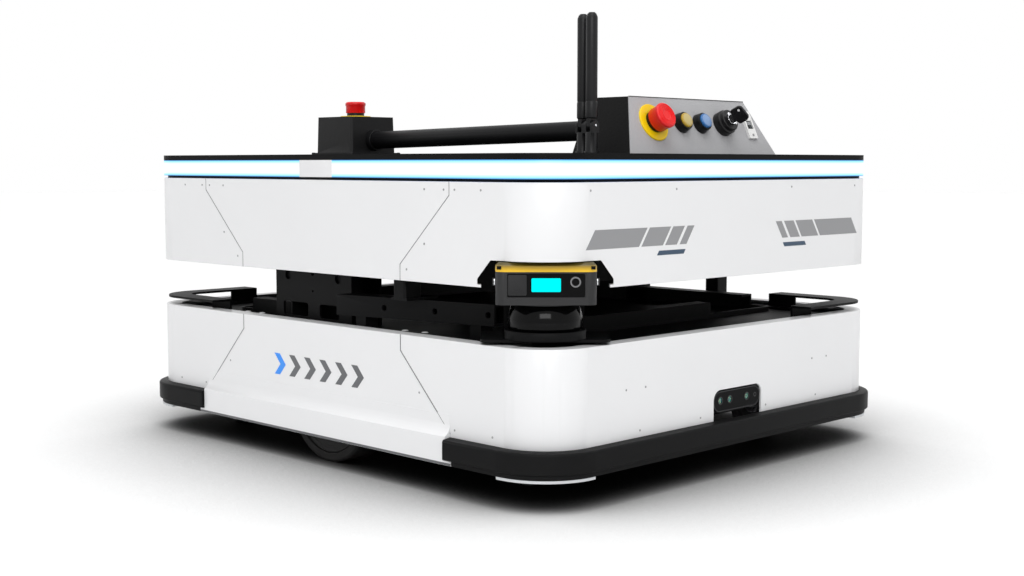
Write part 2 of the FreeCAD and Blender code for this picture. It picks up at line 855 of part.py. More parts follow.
def top_plate():
    """The flat load plate with its four fixing holes and the shallow seats of what stands on it."""
    body = new_body("top_plate")
    sketch = new_sketch(body, "XY_Plane", "Plan", plate_bottom)
    body_outline(sketch, 0)
    for side_x in (-1, 1):
        for side_y in (-1, 1):
            ring(sketch, (side_x * s["fixing_x"], side_y * s["fixing_y"]), s["fixing_radius"])
    pad(body, sketch, s["top_plate_thick"], "Plate")
    margin = s["recess_margin"]
    seats = new_sketch(body, "XY_Plane", "Seats", plate_top)
    half = s["console_half_low"] + margin
    rectangle(seats, (console_rear - margin, -half), (console_low + margin, half))
    half = s["box_flange"] / 2 + margin
    rectangle(seats, (box_x - half, -half), (box_x + half, half), s["flange_bend"])
    for label in ("a", "b"):
        ring(seats, antenna_spot(label), s["antenna_radius"] + s["antenna_nut_wall"] + margin)
    pocket(body, seats, s["seat_recess"], "Seats")
    return keep(body, "top_plate")


for end_name, angle in (("front", 0), ("rear", 180)):
    rubber = new_body(f"bumper_{end_name}")
    end_band(rubber, bumper_section(), s["bumper_start"])
    keep(rubber, f"bumper_{end_name}", turned(angle))
bumper_rails()
corner_pads()
light_band()
top_plate()


# --- Chassis and inner frame ------------------------------------------------------------------

def chassis():
    """The welded chassis: a plate with wheel bays, a battery tub and two capped beams for the deck."""
    body = new_body("chassis")
    level, thick = s["chassis_level"], s["chassis_thick"]
    tub_x, tub_y, wall = s["tub_half_length"], s["tub_half_width"], s["tub_wall"]
    sketch = new_sketch(body, "XY_Plane", "Plan", level)
    body_outline(sketch, s["cover_wall"] + s["seat_gap"])
    rectangle(sketch, (wall - tub_x, wall - tub_y), (tub_x - wall, tub_y - wall))
    pad(body, sketch, thick, "Plate")
    bays = new_sketch(body, "XY_Plane", "Bays", level + thick)
    for side in (-1, 1):
        inner, outer = side * s["bay_inner"], side * s["skirt_width"]
        rectangle(bays, (-s["bay_half_length"], inner), (s["bay_half_length"], outer))
    pocket(body, bays, thick * 2, "Bays")
    walls = new_sketch(body, "XY_Plane", "TubWalls", s["tub_bottom"])
    rectangle(walls, (-tub_x, -tub_y), (tub_x, tub_y))
    rectangle(walls, (wall - tub_x, wall - tub_y), (tub_x - wall, tub_y - wall))
    pad(body, walls, level + thick - s["tub_bottom"], "TubWalls")
    slab(body, (-tub_x, -tub_y), (tub_x, tub_y), s["tub_bottom"], wall, "TubFloor")
    half = s["beam_width"] / 2
    beams = new_sketch(body, "YZ_Plane", "BeamSections")
    for side in (-1, 1):
        centre = side * s["beam_place"]
        rectangle(beams, (centre - half, chassis_top), (centre + half, s["deck_level"]))
    pad(body, beams, (half_length - s["beam_setback"]) * 2, "DeckBeams", both=True)
    return keep(body, "chassis")


def battery_pack():
    """The traction battery, standing in its tub."""
    body = new_body("battery_pack")
    floor = s["tub_bottom"] + s["tub_wall"]
    x, y = s["tub_half_length"] - s["battery_margin"], s["tub_half_width"] - s["battery_margin"]
    slab(body, (-x, -y), (x, y), floor, s["battery_height"], "Case", s["battery_bend"])
    x, y = x - s["battery_lid_end"], y - s["battery_lid_side"]
    slab(body, (-x, -y), (x, y), floor + s["battery_height"], s["battery_lid"], "Lid", s["battery_lid_bend"])
    return keep(body, "battery_pack")


def lower_deck():
    """The sheet deck between the two halves of the body, with an upstanding rim round its middle."""
    body = new_body("lower_deck")
    sketch = new_sketch(body, "XY_Plane", "Plan", s["deck_level"])
    body_outline(sketch, s["cover_wall"] + s["seat_gap"])
    pad(body, sketch, s["deck_thick"], "Plate")
    wall, lip = s["tub_wall"], s["rim_lip"]
    x, y, top, bend = rim_x, rim_y, s["rim_top"], s["rim_bend"]
    rim = new_sketch(body, "XY_Plane", "Rim", deck_top)
    rectangle(rim, (-x, -y), (x, y), bend)
    rectangle(rim, (wall - x, wall - y), (x - wall, y - wall), bend - wall)
    pad(body, rim, top - deck_top, "Rim")
    edge = new_sketch(body, "XY_Plane", "RimLip", top - wall)
    rectangle(edge, (-x, -y), (x, y), bend)
    rectangle(edge, (lip - x, lip - y), (x - lip, y - lip))
    pad(body, edge, wall, "RimLip")
    step = s["rim_step"]
    far_x, far_y = x + step, y + step
    near = s["rim_corner_cut"] - y
    start = s["tower_back"]
    for label, turn in (("Front", 1), ("Rear", -1)):
        notch = new_sketch(body, "XY_Plane", f"{label}Notch", top)
        outline(notch, [(turn * (x - step), turn * (y - step * 4)), (turn * far_x, turn * (y - step * 4)),
                        (turn * far_x, turn * far_y), (turn * (x - step), turn * far_y)])
        pocket(body, notch, top - deck_top - s["rim_foot"], f"{label}Notch")
        clear = new_sketch(body, "XY_Plane", f"{label}ScannerClearance", top)
        outline(clear, [(turn * start, turn * near), (turn * far_x, turn * near),
                        (turn * far_x, -turn * far_y), (turn * start, -turn * far_y)])
        pocket(body, clear, top - deck_top, f"{label}ScannerClearance")
    slots = new_sketch(body, "XY_Plane", "TowerSlots", top)
    gap = s["slot_margin"]
    for side in (-1, 1):
        ends = in_order(side * (tower_plane - s["tower_depth"] - gap), side * (y + gap))
        rectangle(slots, (s["tower_front"] - gap, ends[0]), (s["tower_back"] + gap, ends[1]))
    pocket(body, slots, top - deck_top, "TowerSlots")
    return keep(body, "lower_deck")


def tower(name, side):
    """A folded sheet tower over one drive wheel, carrying the upper body."""
    body = new_body(name)
    sheet_thick, face, depth = s["tower_sheet"], tower_plane, s["tower_depth"]
    front, back = s["tower_front"], s["tower_back"]
    top = s["upper_cover_top"]
    lift = face - sheet_thick if side < 0 else -face
    plate = new_sketch(body, "XZ_Plane", "Face", lift)
    outline(plate, [(front, deck_top), (front, top), (back, top), (back, deck_top)])
    middle = (front + back) / 2
    for shift in (-1, 1):
        ring(plate, (middle + shift * s["tower_hole_shift"], s["tower_hole_level"]), s["tower_hole"])
    ring(plate, (middle, s["tower_hole_level"] + s["tower_eye_rise"]), s["tower_hole"] / 2)
    ring(plate, (middle, s["tower_hole_level"] - s["tower_eye_drop"]), s["tower_hole"] / 4)
    low = deck_top + s["window_sill"]
    high = low + s["window_rise"]
    start = front + s["front_window_start"]
    rectangle(plate, (start, low), (start + s["front_window_wide"], high), s["window_bend"])
    end = back - s["back_window_start"]
    rectangle(plate, (end - s["back_window_wide"], low), (end, high), s["window_bend"])
    pad(body, plate, sheet_thick, "Face")
    outer = side * face
    for label, at in (("FrontReturn", front), ("BackReturn", back - sheet_thick)):
        ends = in_order(outer, outer - side * s["tower_return"])
        slab(body, (at, ends[0]), (at + sheet_thick, ends[1]), deck_top, top - deck_top, label)
    ends = in_order(outer - side * sheet_thick, outer - side * depth)
    web = s["tower_web_place"]
    for label, at in (("FrontWeb", front + web), ("BackWeb", back - web)):
        slab(body, (at, ends[0]), (at + sheet_thick, ends[1]), deck_top, top - deck_top, label)
    ends = in_order(outer - side * (depth - sheet_thick), outer - side * depth)
    margin = s["tower_plate_margin"]
    slab(body, (front + margin, ends[0]), (back - margin, ends[1]), deck_top, top - deck_top, "InnerPlate")
    return keep(body, name)


def portal():
    """Two box posts ahead of the towers, welded to the channel between them."""
    body = new_body("portal")
    wall = s["tower_sheet"]
    start, width, face, depth = s["post_start"], s["post_width"], post_plane, s["post_depth"]
    beam_top = s["scanner_beam_level"] + s["scanner_beam_height"]
    foot_top = beam_top + s["post_foot_thick"]
    slab(body, (start - wall, -face), (start + width + wall, s["post_foot_lap"] + depth - face),
         beam_top, s["post_foot_thick"], "FootPlate")
    for side, foot in ((-1, foot_top), (1, s["lower_cover_top"])):
        ends = in_order(side * face, side * (face - depth))
        sketch = new_sketch(body, "XY_Plane", "PostPlan", foot)
        rectangle(sketch, (start, ends[0]), (start + width, ends[1]), wall)
        rectangle(sketch, (start + wall, ends[0] + wall), (start + width - wall, ends[1] - wall))
        pad(body, sketch, s["upper_cover_top"] - s["cover_wall"] - foot, "Post")
    end = face - depth
    low, high = s["cross_beam_bottom"], s["cross_beam_bottom"] + s["cross_beam_height"]
    right = start + s["cross_beam_lap"]
    left = right - s["cross_beam_width"]
    sketch = new_sketch(body, "XZ_Plane", "ChannelSection")
    outline(sketch, [(left, low), (right, low), (right, high), (right - wall, high),
                     (right - wall, low + wall), (left + wall, low + wall), (left + wall, high),
                     (left, high)])
    pad(body, sketch, end * 2, "Channel", both=True)
    return keep(body, "portal")


def scanner_beams():
    """The drilled box beams that run inwards from each tower to its scanner."""
    body = new_body("scanner_beams")
    level, height, wall = s["scanner_beam_level"], s["scanner_beam_height"], s["tower_sheet"]
    outer, wide = half_width - s["scanner_beam_inset"], s["scanner_beam_width"]
    end = half_length - s["scanner_beam_setback"]
    gap = s["tower_gap"]
    root = s["tower_back"] + gap
    slope = s["scanner_beam_lead"] / (end - root)
    for label, turn, start in (("Front", 1, root), ("Rear", -1, gap - s["tower_front"])):
        def edge(x, inward):
            """A plan point on the beam at distance x from the middle, inward of its outer face."""
            return turn * x, turn * (slope * (x - root) + inward - outer)
        plan = new_sketch(body, "XY_Plane", f"{label}Plan", level)
        outline(plan, [edge(start, 0), edge(end, 0), edge(end, wide), edge(start, wide)])
        pad(body, plan, height, f"{label}Beam")
        inside = new_sketch(body, "XY_Plane", f"{label}Inside", level + height - wall)
        outline(inside, [edge(start - wall, wall), edge(end + wall, wall),
                         edge(end + wall, wide - wall), edge(start - wall, wide - wall)])
        pocket(body, inside, height - wall * 2, f"{label}Inside")
        inner_side = outer - wide + wall - slope * (end - root)
        holes = new_sketch(body, "XZ_Plane", f"{label}Holes", turn * inner_side)
        for number in range(3):
            spot = s["scanner_beam_hole"] + number * s["scanner_beam_pitch"]
            if spot.value > start.value:
                ring(holes, (turn * spot, level + height / 2), s["beam_hole_radius"])
        pocket(body, holes, s["scanner_beam_lead"] + wide, f"{label}Holes", back=turn > 0)
        for number, x in enumerate((start + wide, end - wide)):
            foot = s["beam_foot_half"]
            centre_x, centre_y = edge(x, wide / 2)
            slab(body, (centre_x - foot, centre_y - foot), (centre_x + foot, centre_y + foot),
                 deck_top, level - deck_top, f"{label}Foot{number}")
    return keep(body, "scanner_beams")


def upper_frame():
    """The flat frame that joins towers, posts and covers to the top plate."""
    body = new_body("upper_frame")
    sketch = new_sketch(body, "XY_Plane", "Plan", s["upper_cover_top"])
    body_outline(sketch, s["frame_inset"])
    x, y, web = half_length - s["frame_border"], half_width - s["frame_border"], s["frame_web"]
    for side in (-1, 1):
        x_ends = in_order(side * web, side * x)
        rectangle(sketch, (x_ends[0], -y), (x_ends[1], y), s["frame_bend"])
    pad(body, sketch, s["shadow_gap"], "Plate")
    channel = s["band_wall"] + s["seat_gap"]
    skin_ring(body, channel, channel + s["channel_wall"], band_bottom, s["band_height"], "Channel")
    spacer = new_sketch(body, "XY_Plane", "Spacers", band_bottom)
    for side in (-1, 1):
        near, far = in_order(side * s["spacer_near"], side * (s["spacer_near"] + s["spacer_wide"]))
        long = web - s["spacer_margin"]
        rectangle(spacer, (-long, near), (long, far))
    pad(body, spacer, s["band_height"], "Spacers")
    return keep(body, "upper_frame")


def electronics_box():
    """The control cabinet that hangs from the upper frame."""
    body = new_body("electronics_box")
    x, y, high = s["cabinet_half_length"], s["cabinet_half_width"], s["cabinet_height"]
    slab(body, (-x, -y), (x, y), s["upper_cover_top"] - high, high, "Case", s["cabinet_bend"])
    return keep(body, "electronics_box")


chassis()
battery_pack()
lower_deck()
tower("tower_right", -1)
tower("tower_left", 1)
portal()
scanner_beams()
upper_frame()
electronics_box()


# --- Corner guards, scanners and depth camera -------------------------------------------------

def corner_guard(body, turn, label):
    """One flat guard with its two bent-down legs and their feet; turn is 1 in front, -1 behind."""
    level, thick, leg = s["guard_level"], s["guard_thick"], s["guard_leg"]
    far_x, far_y = half_length - s["guard_inset"], half_width - s["guard_inset"]
    near_x, near_y = far_x - s["guard_width"], far_y - s["guard_width"]
    start_x, start_y = half_length - s["guard_arm_setback"], half_width - s["guard_arm_inset"]
    outer_bend = s["corner_radius"] - s["guard_inset"]
    plan = new_sketch(body, "XY_Plane", f"{label}Plan", level)
    outline(plan, [(turn * start_x, turn * far_y), (turn * start_x, turn * near_y),
                   (turn * near_x, turn * near_y, outer_bend - s["guard_width"]),
                   (turn * near_x, turn * start_y), (turn * far_x, turn * start_y),
                   (turn * far_x, turn * far_y, outer_bend)])
    pad(body, plan, thick, f"{label}Guard")
    foot = s["guard_foot"]
    for part, high, depth_from, depth_to in (("Legs", level - deck_top, 0, thick),
                                             ("Feet", thick, -foot, 0)):
        sketch = new_sketch(body, "XY_Plane", f"{label}{part}", deck_top)
        across_x = in_order(turn * start_x, turn * (start_x + leg))
        across_y = in_order(turn * start_y, turn * (start_y + leg))
        along_x = in_order(turn * (near_y + depth_from), turn * (near_y + depth_to))
        along_y = in_order(turn * (near_x + depth_from), turn * (near_x + depth_to))
        rectangle(sketch, (across_x[0], along_x[0]), (across_x[1], along_x[1]))
        rectangle(sketch, (along_y[0], across_y[0]), (along_y[1], across_y[1]))
        pad(body, sketch, high, f"{label}{part}")


def corner_guards():
    """The guards over the two corners without a scanner."""
    body = new_body("corner_guards")
    corner_guard(body, 1, "Front")
    corner_guard(body, -1, "Rear")
    return keep(body, "corner_guards")


def placed(body, place):
    """Put a finished body in its place."""
    body.Placement = place
    return body


def group(name, pieces):
    """Like pieces that share one node, each still a solid of its own."""
    compound = doc.addObject("Part::Compound", name)
    compound.Links = pieces
    return keep(compound, name)


def scanner_place(end):
    """The scanner's own frame at one end: local +X points out through the corner."""
    angle = -45 if end > 0 else 135
    return turned(angle, end * corner_x, -end * corner_y)


def scanner_plan(sketch, trim=0.0):
    """The plan of the scanner's square head, drawn in by trim at the front and the sides."""
    half = s["scanner_width"] / 2 - trim
    front = s["scanner_reach"] - trim
    back = s["scanner_reach"] - s["scanner_depth"]
    outline(sketch, [(back, -half, s["head_back_round"]), (front, -half, s["head_round"]),
                     (front, half, s["head_round"]), (back, half, s["head_back_round"])])


def scanner_body(end):
    """The grey head of a laser scanner, with the recess of its display panel."""
    body = new_body("ScannerBody")
    half, reach = s["scanner_width"] / 2, s["scanner_reach"]
    low, high = s["scanner_bottom"], s["scanner_cap_bottom"]
    plan = new_sketch(body, "XY_Plane", "HeadPlan", low)
    scanner_plan(plan)
    pad(body, plan, high - low, "Head")
    recess = new_sketch(body, "YZ_Plane", "PanelFace", reach)
    rectangle(recess, (-s["panel_half"], low + s["panel_rise"]), (s["panel_half"], high - s["panel_drop"]))
    pocket(body, recess, s["panel_recess"], "PanelRecess")
    bolt_x, bolt_z = reach - s["side_bolt_inset"], high - s["side_bolt_drop"]
    for label, lift in (("Right", half), ("Left", -half - s["side_bolt_proud"])):
        bolt = new_sketch(body, "XZ_Plane", f"{label}Bolt", lift)
        ring(bolt, (bolt_x, bolt_z), s["side_bolt_radius"])
        pad(body, bolt, s["side_bolt_proud"], f"{label}Bolt")
    neck = new_sketch(body, "XY_Plane", "NeckPlan", low - s["neck_height"])
    ring(neck, (s["dome_place"], 0), s["dome_radius"] - s["dome_taper"])
    pad(body, neck, s["neck_height"], "Neck")
    return placed(body, scanner_place(end))


def scanner_cap(end):
    """The yellow cover plate on top of a scanner, with its bevelled edge."""
    body = new_body("ScannerCap")
    low, high, bevel = s["scanner_cap_bottom"], s["scanner_top"], s["cap_bevel"]
    base = new_sketch(body, "XY_Plane", "CapPlan", low)
    scanner_plan(base)
    pad(body, base, high - low - bevel, "Cap")
    lower = new_sketch(body, "XY_Plane", "BevelLow", high - bevel)
    scanner_plan(lower)
    upper = new_sketch(body, "XY_Plane", "BevelHigh", high)
    scanner_plan(upper, bevel)
    loft(body, (lower, upper), "Bevel")
    return placed(body, scanner_place(end))


def scanner_window_dome(end):
    """The dark optical window: a barrel that is widest low down."""
    body = new_body("ScannerWindow")
    profile = new_sketch(body, "XZ_Plane", "Profile")
    radius, low = s["dome_radius"], s["dome_bottom"]
    high = s["scanner_bottom"] - s["neck_height"] - s["seat_gap"]
    waist = low + (high - low) / 2
    outline(profile, [(0, low), (radius - s["window_edge"], low), (radius, low + s["window_edge_rise"]),
                      (radius, waist), (radius - s["dome_taper"], high), (0, high)])
    revolve(body, profile, "Barrel")
    shift = Placement(Vector(s["dome_place"].value, 0, 0), Rotation())
    return placed(body, scanner_place(end) * shift)


def scanner_bracket(end):
    """The bracket of one scanner: foot disc, base plate, feet and the hanger to the upper frame."""
    body = new_body("ScannerBracket")
    low, sheet_thick = s["dome_bottom"] - s["seat_gap"], s["bracket_sheet"]
    half = s["scanner_width"] / 2
    disc = new_sketch(body, "XY_Plane", "DiscPlan", low - s["disc_height"])
    ring(disc, (s["dome_place"], 0), s["dome_radius"] + s["disc_margin"])
    pad(body, disc, s["disc_height"], "Disc")
    level = low - s["disc_height"] - sheet_thick
    back = s["scanner_reach"] - s["scanner_depth"] - s["seat_gap"]
    wide = half + s["bracket_margin"]
    slab(body, (back - sheet_thick, -wide), (s["bracket_front"], wide), level, sheet_thick, "BasePlate",
         s["bracket_round"])
    for side, label in ((-1, "Right"), (1, "Left")):
        outer = wide - s["foot_margin"]
        ends = in_order(side * outer, side * (outer - s["bracket_foot"]))
        slab(body, (back, ends[0]), (back + s["bracket_foot"] * 3, ends[1]), deck_top, level - deck_top,
             f"{label}Foot")
    hanger = half - s["hanger_inset"]
    slab(body, (back - sheet_thick, -hanger), (back, hanger), level, s["upper_cover_top"] - level, "Hanger")
    return placed(body, scanner_place(end))


def depth_camera():
    """The stereo depth camera in its window: a bar with round ends and four eyes."""
    body = new_body("depth_camera")
    half_high, deep = s["camera_height"] / 2, s["camera_depth"]
    middle, level = s["camera_offset"], s["camera_level"]
    face = half_length - s["camera_setback"]
    sketch = new_sketch(body, "YZ_Plane", "Face", face - deep)
    rectangle(sketch, (middle - s["camera_width"] / 2, level - half_high),
              (middle + s["camera_width"] / 2, level + half_high), half_high * FULL_ROUND)
    pad(body, sketch, deep, "Bar")
    eyes = new_sketch(body, "YZ_Plane", "Eyes", face)
    for place in ("eye_right", "eye_projector", "eye_left", "eye_colour"):
        radius = s["colour_eye_radius" if place == "eye_colour" else "eye_radius"]
        ring(eyes, (middle + s[place], level + s["eye_rise"]), radius)
    pocket(body, eyes, s["eye_depth"], "Eyes")
    return keep(body, "depth_camera")


def camera_bracket():
    """The folded bracket that hangs the depth camera under the chassis plate."""
    body = new_body("camera_bracket")
    low = s["camera_level"] - s["camera_height"] / 2
    middle, sheet_thick = s["camera_offset"], s["bracket_sheet"]
    back = half_length - s["camera_setback"] - s["camera_depth"]
    half = s["camera_width"] / 2 - s["camera_height"] / 2
    slab(body, (back - sheet_thick, middle - half), (back, middle + half), low,
         s["chassis_level"] - low, "Back")
    slab(body, (back - s["camera_flange"], middle - half), (back, middle + half),
         s["chassis_level"] - sheet_thick, sheet_thick, "Flange")
    return keep(body, "camera_bracket")


corner_guards()
both_ends = (1, -1)
group("scanner_bodies", [scanner_body(end) for end in both_ends])
group("scanner_caps", [scanner_cap(end) for end in both_ends])
group("scanner_windows", [scanner_window_dome(end) for end in both_ends])
group("scanner_brackets", [scanner_bracket(end) for end in both_ends])
depth_camera()
camera_bracket()


# --- Drive wheels and casters -----------------------------------------------------------------

def across(body, radius, near, far, name, x=0.0, z=0.0):
    """A round bar along Y, from near to far on the right-hand side (distances from the middle)."""
    sketch = new_sketch(body, "XZ_Plane", f"{name}Circle", near)
    ring(sketch, (x, z), radius)
    return pad(body, sketch, Size.of(far) - near, name)


def turn_about_axle(body, corners, x, level, name):
    """Turn a (Y, Z) profile about an axle along Y at height level, in the plane at x."""
    profile = new_sketch(body, "YZ_Plane", f"{name}Profile", x)
    outline(profile, corners)
    axle = new_sketch(body, "YZ_Plane", f"{name}Axle", x)
    low, high = Vector(-1, level.value, 0), Vector(1, level.value, 0)
    line = axle.addGeometry(Part.LineSegment(low, high), False)
    hold(axle, line, 1, (-1, level))
    hold(axle, line, 2, (1, level))
    feature = body.newObject("PartDesign::Revolution", name)
    feature.Profile = profile
    feature.ReferenceAxis = (axle, ["Edge1"])
    feature.Angle = 360.0
    return feature


def drive_wheel(side_name, place):
    """One drive wheel: a dished hub with a blind bore, and the tyre on its rim."""
    outer, inner, level, rim = wheel_face, wheel_back, s["wheel_radius"], s["hub_radius"]
    face, web, back = outer - s["hub_setback"], outer - s["hub_web"], inner + s["hub_back"]
    edge, dish, foot = s["hub_edge"], s["hub_dish"], inner + s["hub_nose_back"]
    hub = new_body(f"drive_hub_{side_name}")
    nose = s["shaft_radius"] + s["hub_nose_wall"]
    bead = rim - s["rim_wall"]
    turn_about_axle(hub, [(-face, level), (-face, level + rim - edge), (edge - face, level + rim),
                          (-back, level + rim), (-back, level + bead), (-web, level + bead - dish),
                          (-web, level + nose + dish), (-foot, level + nose), (-foot, level)],
                    0, level, "Hub")
    bore = new_sketch(hub, "XZ_Plane", "BoreCircle", inner)
    ring(bore, (0, level), s["shaft_radius"] + s["pivot_clearance"])
    pocket(hub, bore, s["shaft_reach"] + s["bore_spare"], "Bore", back=True)
    keep(hub, f"drive_hub_{side_name}", place)
    tyre = new_body(f"drive_tyre_{side_name}")
    shoulder = s["tyre_round"]
    turn_about_axle(tyre, [(-outer, level + rim), (-outer, level * 2 - shoulder),
                           (shoulder - outer, level * 2), (-inner - shoulder, level * 2),
                           (-inner, level * 2 - shoulder), (-inner, level + rim)], 0, level, "Tyre")
    keep(tyre, f"drive_tyre_{side_name}", place)


def drive_motor(side_name, place):
    """A gearmotor on its mounting plate, with the shaft that carries the wheel."""
    body = new_body(f"drive_motor_{side_name}")
    level, half = s["wheel_radius"], s["motor_plate_half"]
    inner = wheel_back
    plate = inner - s["plate_gap"]
    plate_back = plate - s["motor_plate_thick"]
    gearbox_back = plate_back - s["gearbox_length"]
    face = new_sketch(body, "XZ_Plane", "PlateFace", plate_back)
    rectangle(face, (-half, s["skirt_bottom"]), (half, s["deck_level"]))
    pad(body, face, s["motor_plate_thick"], "Plate")
    across(body, s["gearbox_radius"], gearbox_back, plate_back, "Gearbox", 0, level)
    across(body, s["motor_radius"], s["bay_inner"] + s["motor_gap"], gearbox_back, "Motor", 0, level)
    across(body, s["shaft_radius"] * 2, plate, inner - s["boss_gap"], "Boss", 0, level)
    across(body, s["shaft_radius"], plate, inner + s["shaft_reach"], "Shaft", 0, level)
    return keep(body, f"drive_motor_{side_name}", place)


def caster_fork(name, place):
    """The fork of a swivel caster: round crown with its kingpin bore, two legs and the axle."""
    body = new_body(f"caster_fork_{name}")
    radius, trail, wall = s["caster_radius"], s["caster_trail"], s["fork_wall"]
    half = s["caster_width"] / 2 + s["fork_side_gap"]
    crown_top = s["chassis_level"] - s["caster_plate"] - s["caster_race"]
    crown_bottom = crown_top - s["crown_thick"]
    plan = new_sketch(body, "XY_Plane", "CrownPlan", crown_bottom)
    ring(plan, (0, 0), s["crown_radius"])
    ring(plan, (0, 0), s["kingpin_radius"] + s["pivot_clearance"])
    pad(body, plan, s["crown_thick"], "Crown")
    reach, shy = s["crown_radius"] - s["leg_inset"], s["crown_thick"] / 5
    foot, low, bend = s["leg_foot_half"], radius - s["leg_foot_drop"], s["leg_foot_bend"]
    hip, top = crown_bottom - shy * 2, crown_top - shy
    for label, lift in (("Right", half), ("Left", -half - wall)):
        leg = new_sketch(body, "XZ_Plane", f"{label}LegFace", lift)
        outline(leg, [(-trail - foot, low, bend), (foot - trail, low, bend), (reach, hip), (reach, top),
                      (-reach - shy, top), (-reach - shy, hip)])
        pad(body, leg, wall, f"{label}Leg")
    end = half + wall + s["axle_end"]
    across(body, s["axle_radius"], -end, end, "Axle", -trail, radius)
    return keep(body, f"caster_fork_{name}", place)


def caster_wheel(name, place):
    """The wheel of a caster: tread, dished web and hub in one profile."""
    body = new_body(f"caster_wheel_{name}")
    radius, edge = s["caster_radius"], s["caster_width"] / 2
    hub, rim = s["axle_radius"] + s["caster_hub_wall"], radius - s["caster_rim_wall"]
    bore = s["axle_radius"] + s["pivot_clearance"]
    dish, shy = edge - s["caster_dish"], edge - s["caster_hub_shy"]
    lean, tread = s["caster_dish_lean"], s["tread_edge"]
    half = [(shy, radius + bore), (shy, radius + hub), (dish, radius + hub + lean),
            (dish, radius + rim - lean), (edge, radius + rim), (edge, radius * 2 - tread),
            (edge - tread, radius * 2)]
    corners = half + [(-across_wheel, height) for across_wheel, height in reversed(half)]
    turn_about_axle(body, corners, -s["caster_trail"], radius, "Wheel")
    return keep(body, f"caster_wheel_{name}", place)


def caster_plates():
    """The four caster head plates with their races and kingpins, bolted under the chassis."""
    body = new_body("caster_plates")
    level, half = s["chassis_level"] - s["caster_plate"], s["caster_plate_half"]
    crown_top = level - s["caster_race"]
    crown_bottom = crown_top - s["crown_thick"]
    race_bottom = crown_top + s["seat_gap"]
    nut_top = crown_bottom - s["seat_gap"]
    nut_bottom = nut_top - s["kingpin_nut"]
    layers = (("Plates", level, s["chassis_level"], None), ("Races", race_bottom, level, s["race_radius"]),
              ("Kingpins", nut_bottom, race_bottom, s["kingpin_radius"]),
              ("Nuts", nut_bottom, nut_top, s["kingpin_radius"] + s["kingpin_nut_wall"]))
    for name, low, high, radius in layers:
        sketch = new_sketch(body, "XY_Plane", f"{name}Plan", low)
        for side_x in (-1, 1):
            for side_y in (-1, 1):
                x, y = side_x * caster_x, side_y * caster_y
                if radius is None:
                    rectangle(sketch, (x - half, y - half), (x + half, y + half), s["caster_plate_bend"])
                else:
                    ring(sketch, (x, y), radius)
        pad(body, sketch, high - low, name)
    return keep(body, "caster_plates")


for side_name, angle in (("right", 0), ("left", 180)):
    drive_wheel(side_name, turned(angle))
    drive_motor(side_name, turned(angle))
caster_plates()
for end_name, end in (("front", 1), ("rear", -1)):
    for side_name, side in (("right", -1), ("left", 1)):
        swivel = turned(0, end * caster_x, side * caster_y)
        caster_fork(f"{end_name}_{side_name}", swivel)
        caster_wheel(f"{end_name}_{side_name}", swivel)


# --- Console, controls and antennas -----------------------------------------------------------

console_lean = s["console_slope"] / s["console_height"]
console_tilt = math.degrees(math.atan(console_lean.value))


def panel_place(across_panel):
    """A frame on the panel's outer face, with local +Z pointing straight out of the panel."""
    rise = s["controls_rise"]
    x = console_low - rise * console_lean
    spot = Vector(x.value, s[across_panel].value, (plate_top + rise).value)
    return Placement(spot, Rotation(Vector(0, 1, 0), 90 - console_tilt))


def console_wedge(body, rear, front, name):
    """A wedge between the console's foot and its top; rear and front are (low, high) distances."""
    level = plate_top
    plans = []
    for label, index, half in (("Foot", 0, s["console_half_low"]), ("Top", 1, s["console_half_high"])):
        plan = new_sketch(body, "XY_Plane", f"{name}{label}", level)
        rectangle(plan, (rear[index], -half), (front[index], half))
        plans.append(plan)
        level = level + s["console_height"]
    return loft(body, plans, name)


def console():
    """The console housing and the sloping panel on its front."""
    low, high, thick, half = console_low, console_high, s["panel_thick"], s["console_half_low"]
    housing = new_body("console_housing")
    slab(housing, (console_rear, -half), (low, half), plate_top - s["seat_recess"], s["seat_recess"], "Seat")
    console_wedge(housing, (console_rear, console_rear), (low - thick, high - thick), "Housing")
    keep(housing, "console_housing")
    panel = new_body("console_panel")
    console_wedge(panel, (low - thick, high - thick), (low, high), "Panel")
    keep(panel, "console_panel")


def turned_piece(name, place, corners):
    """A round piece made from (radius, height) corners about its own axis."""
    body = new_body(name)
    profile = new_sketch(body, "XZ_Plane", "Profile")
    outline(profile, corners)
    revolve(body, profile, "Turned")
    return placed(body, place)


def stop_head(name, place):
    """The mushroom head of an emergency stop, hollow over its collar."""
    radius, low, high = s["stop_radius"], s["stop_head_low"], s["stop_head_top"]
    bore = s["stop_collar_radius"] + s["stop_guide_gap"]
    roof = s["stop_collar_height"] + s["stop_travel"] + s["stop_spare"]
    waist, edge, dish = radius - s["head_rim"], s["head_edge"], s["head_dish"]
    floor = high - s["head_dish_deep"]
    head = turned_piece(name, place, [(0, roof), (bore, roof), (bore, low), (waist, low),
                                      (waist, high - s["head_flare_low"]),
                                      (radius, high - s["head_flare_high"]), (radius, high - edge),
                                      (radius - edge, high), (dish, high),
                                      (dish - s["head_dish_lean"], floor), (0, floor)])
    return keep(head, name, place)


def stop_base(name, place):
    """The yellow plate and the dark collar under an emergency stop head."""
    plate, collar, high = s["stop_plate_radius"], s["stop_collar_radius"], s["stop_collar_height"]
    thick, edge = s["stop_plate_thick"], s["plate_edge"]
    return turned_piece(name, place, [(0, 0), (plate, 0), (plate, thick - edge), (plate - edge, thick),
                                      (collar, thick), (collar, high), (0, high)])


def button_cap(name, place):
    """The cap of a push button, guided in its bezel and stopped by a shoulder."""
    radius, high = s["button_radius"], s["bezel_height"] + s["button_proud"]
    low = s["bezel_floor"] + s["button_travel"] + s["stop_spare"]
    edge = s["button_edge"]
    cap = turned_piece(name, place, [(0, low), (radius, low), (radius, high - edge),
                                     (radius - edge, high), (0, high)])
    return keep(cap, name, place)


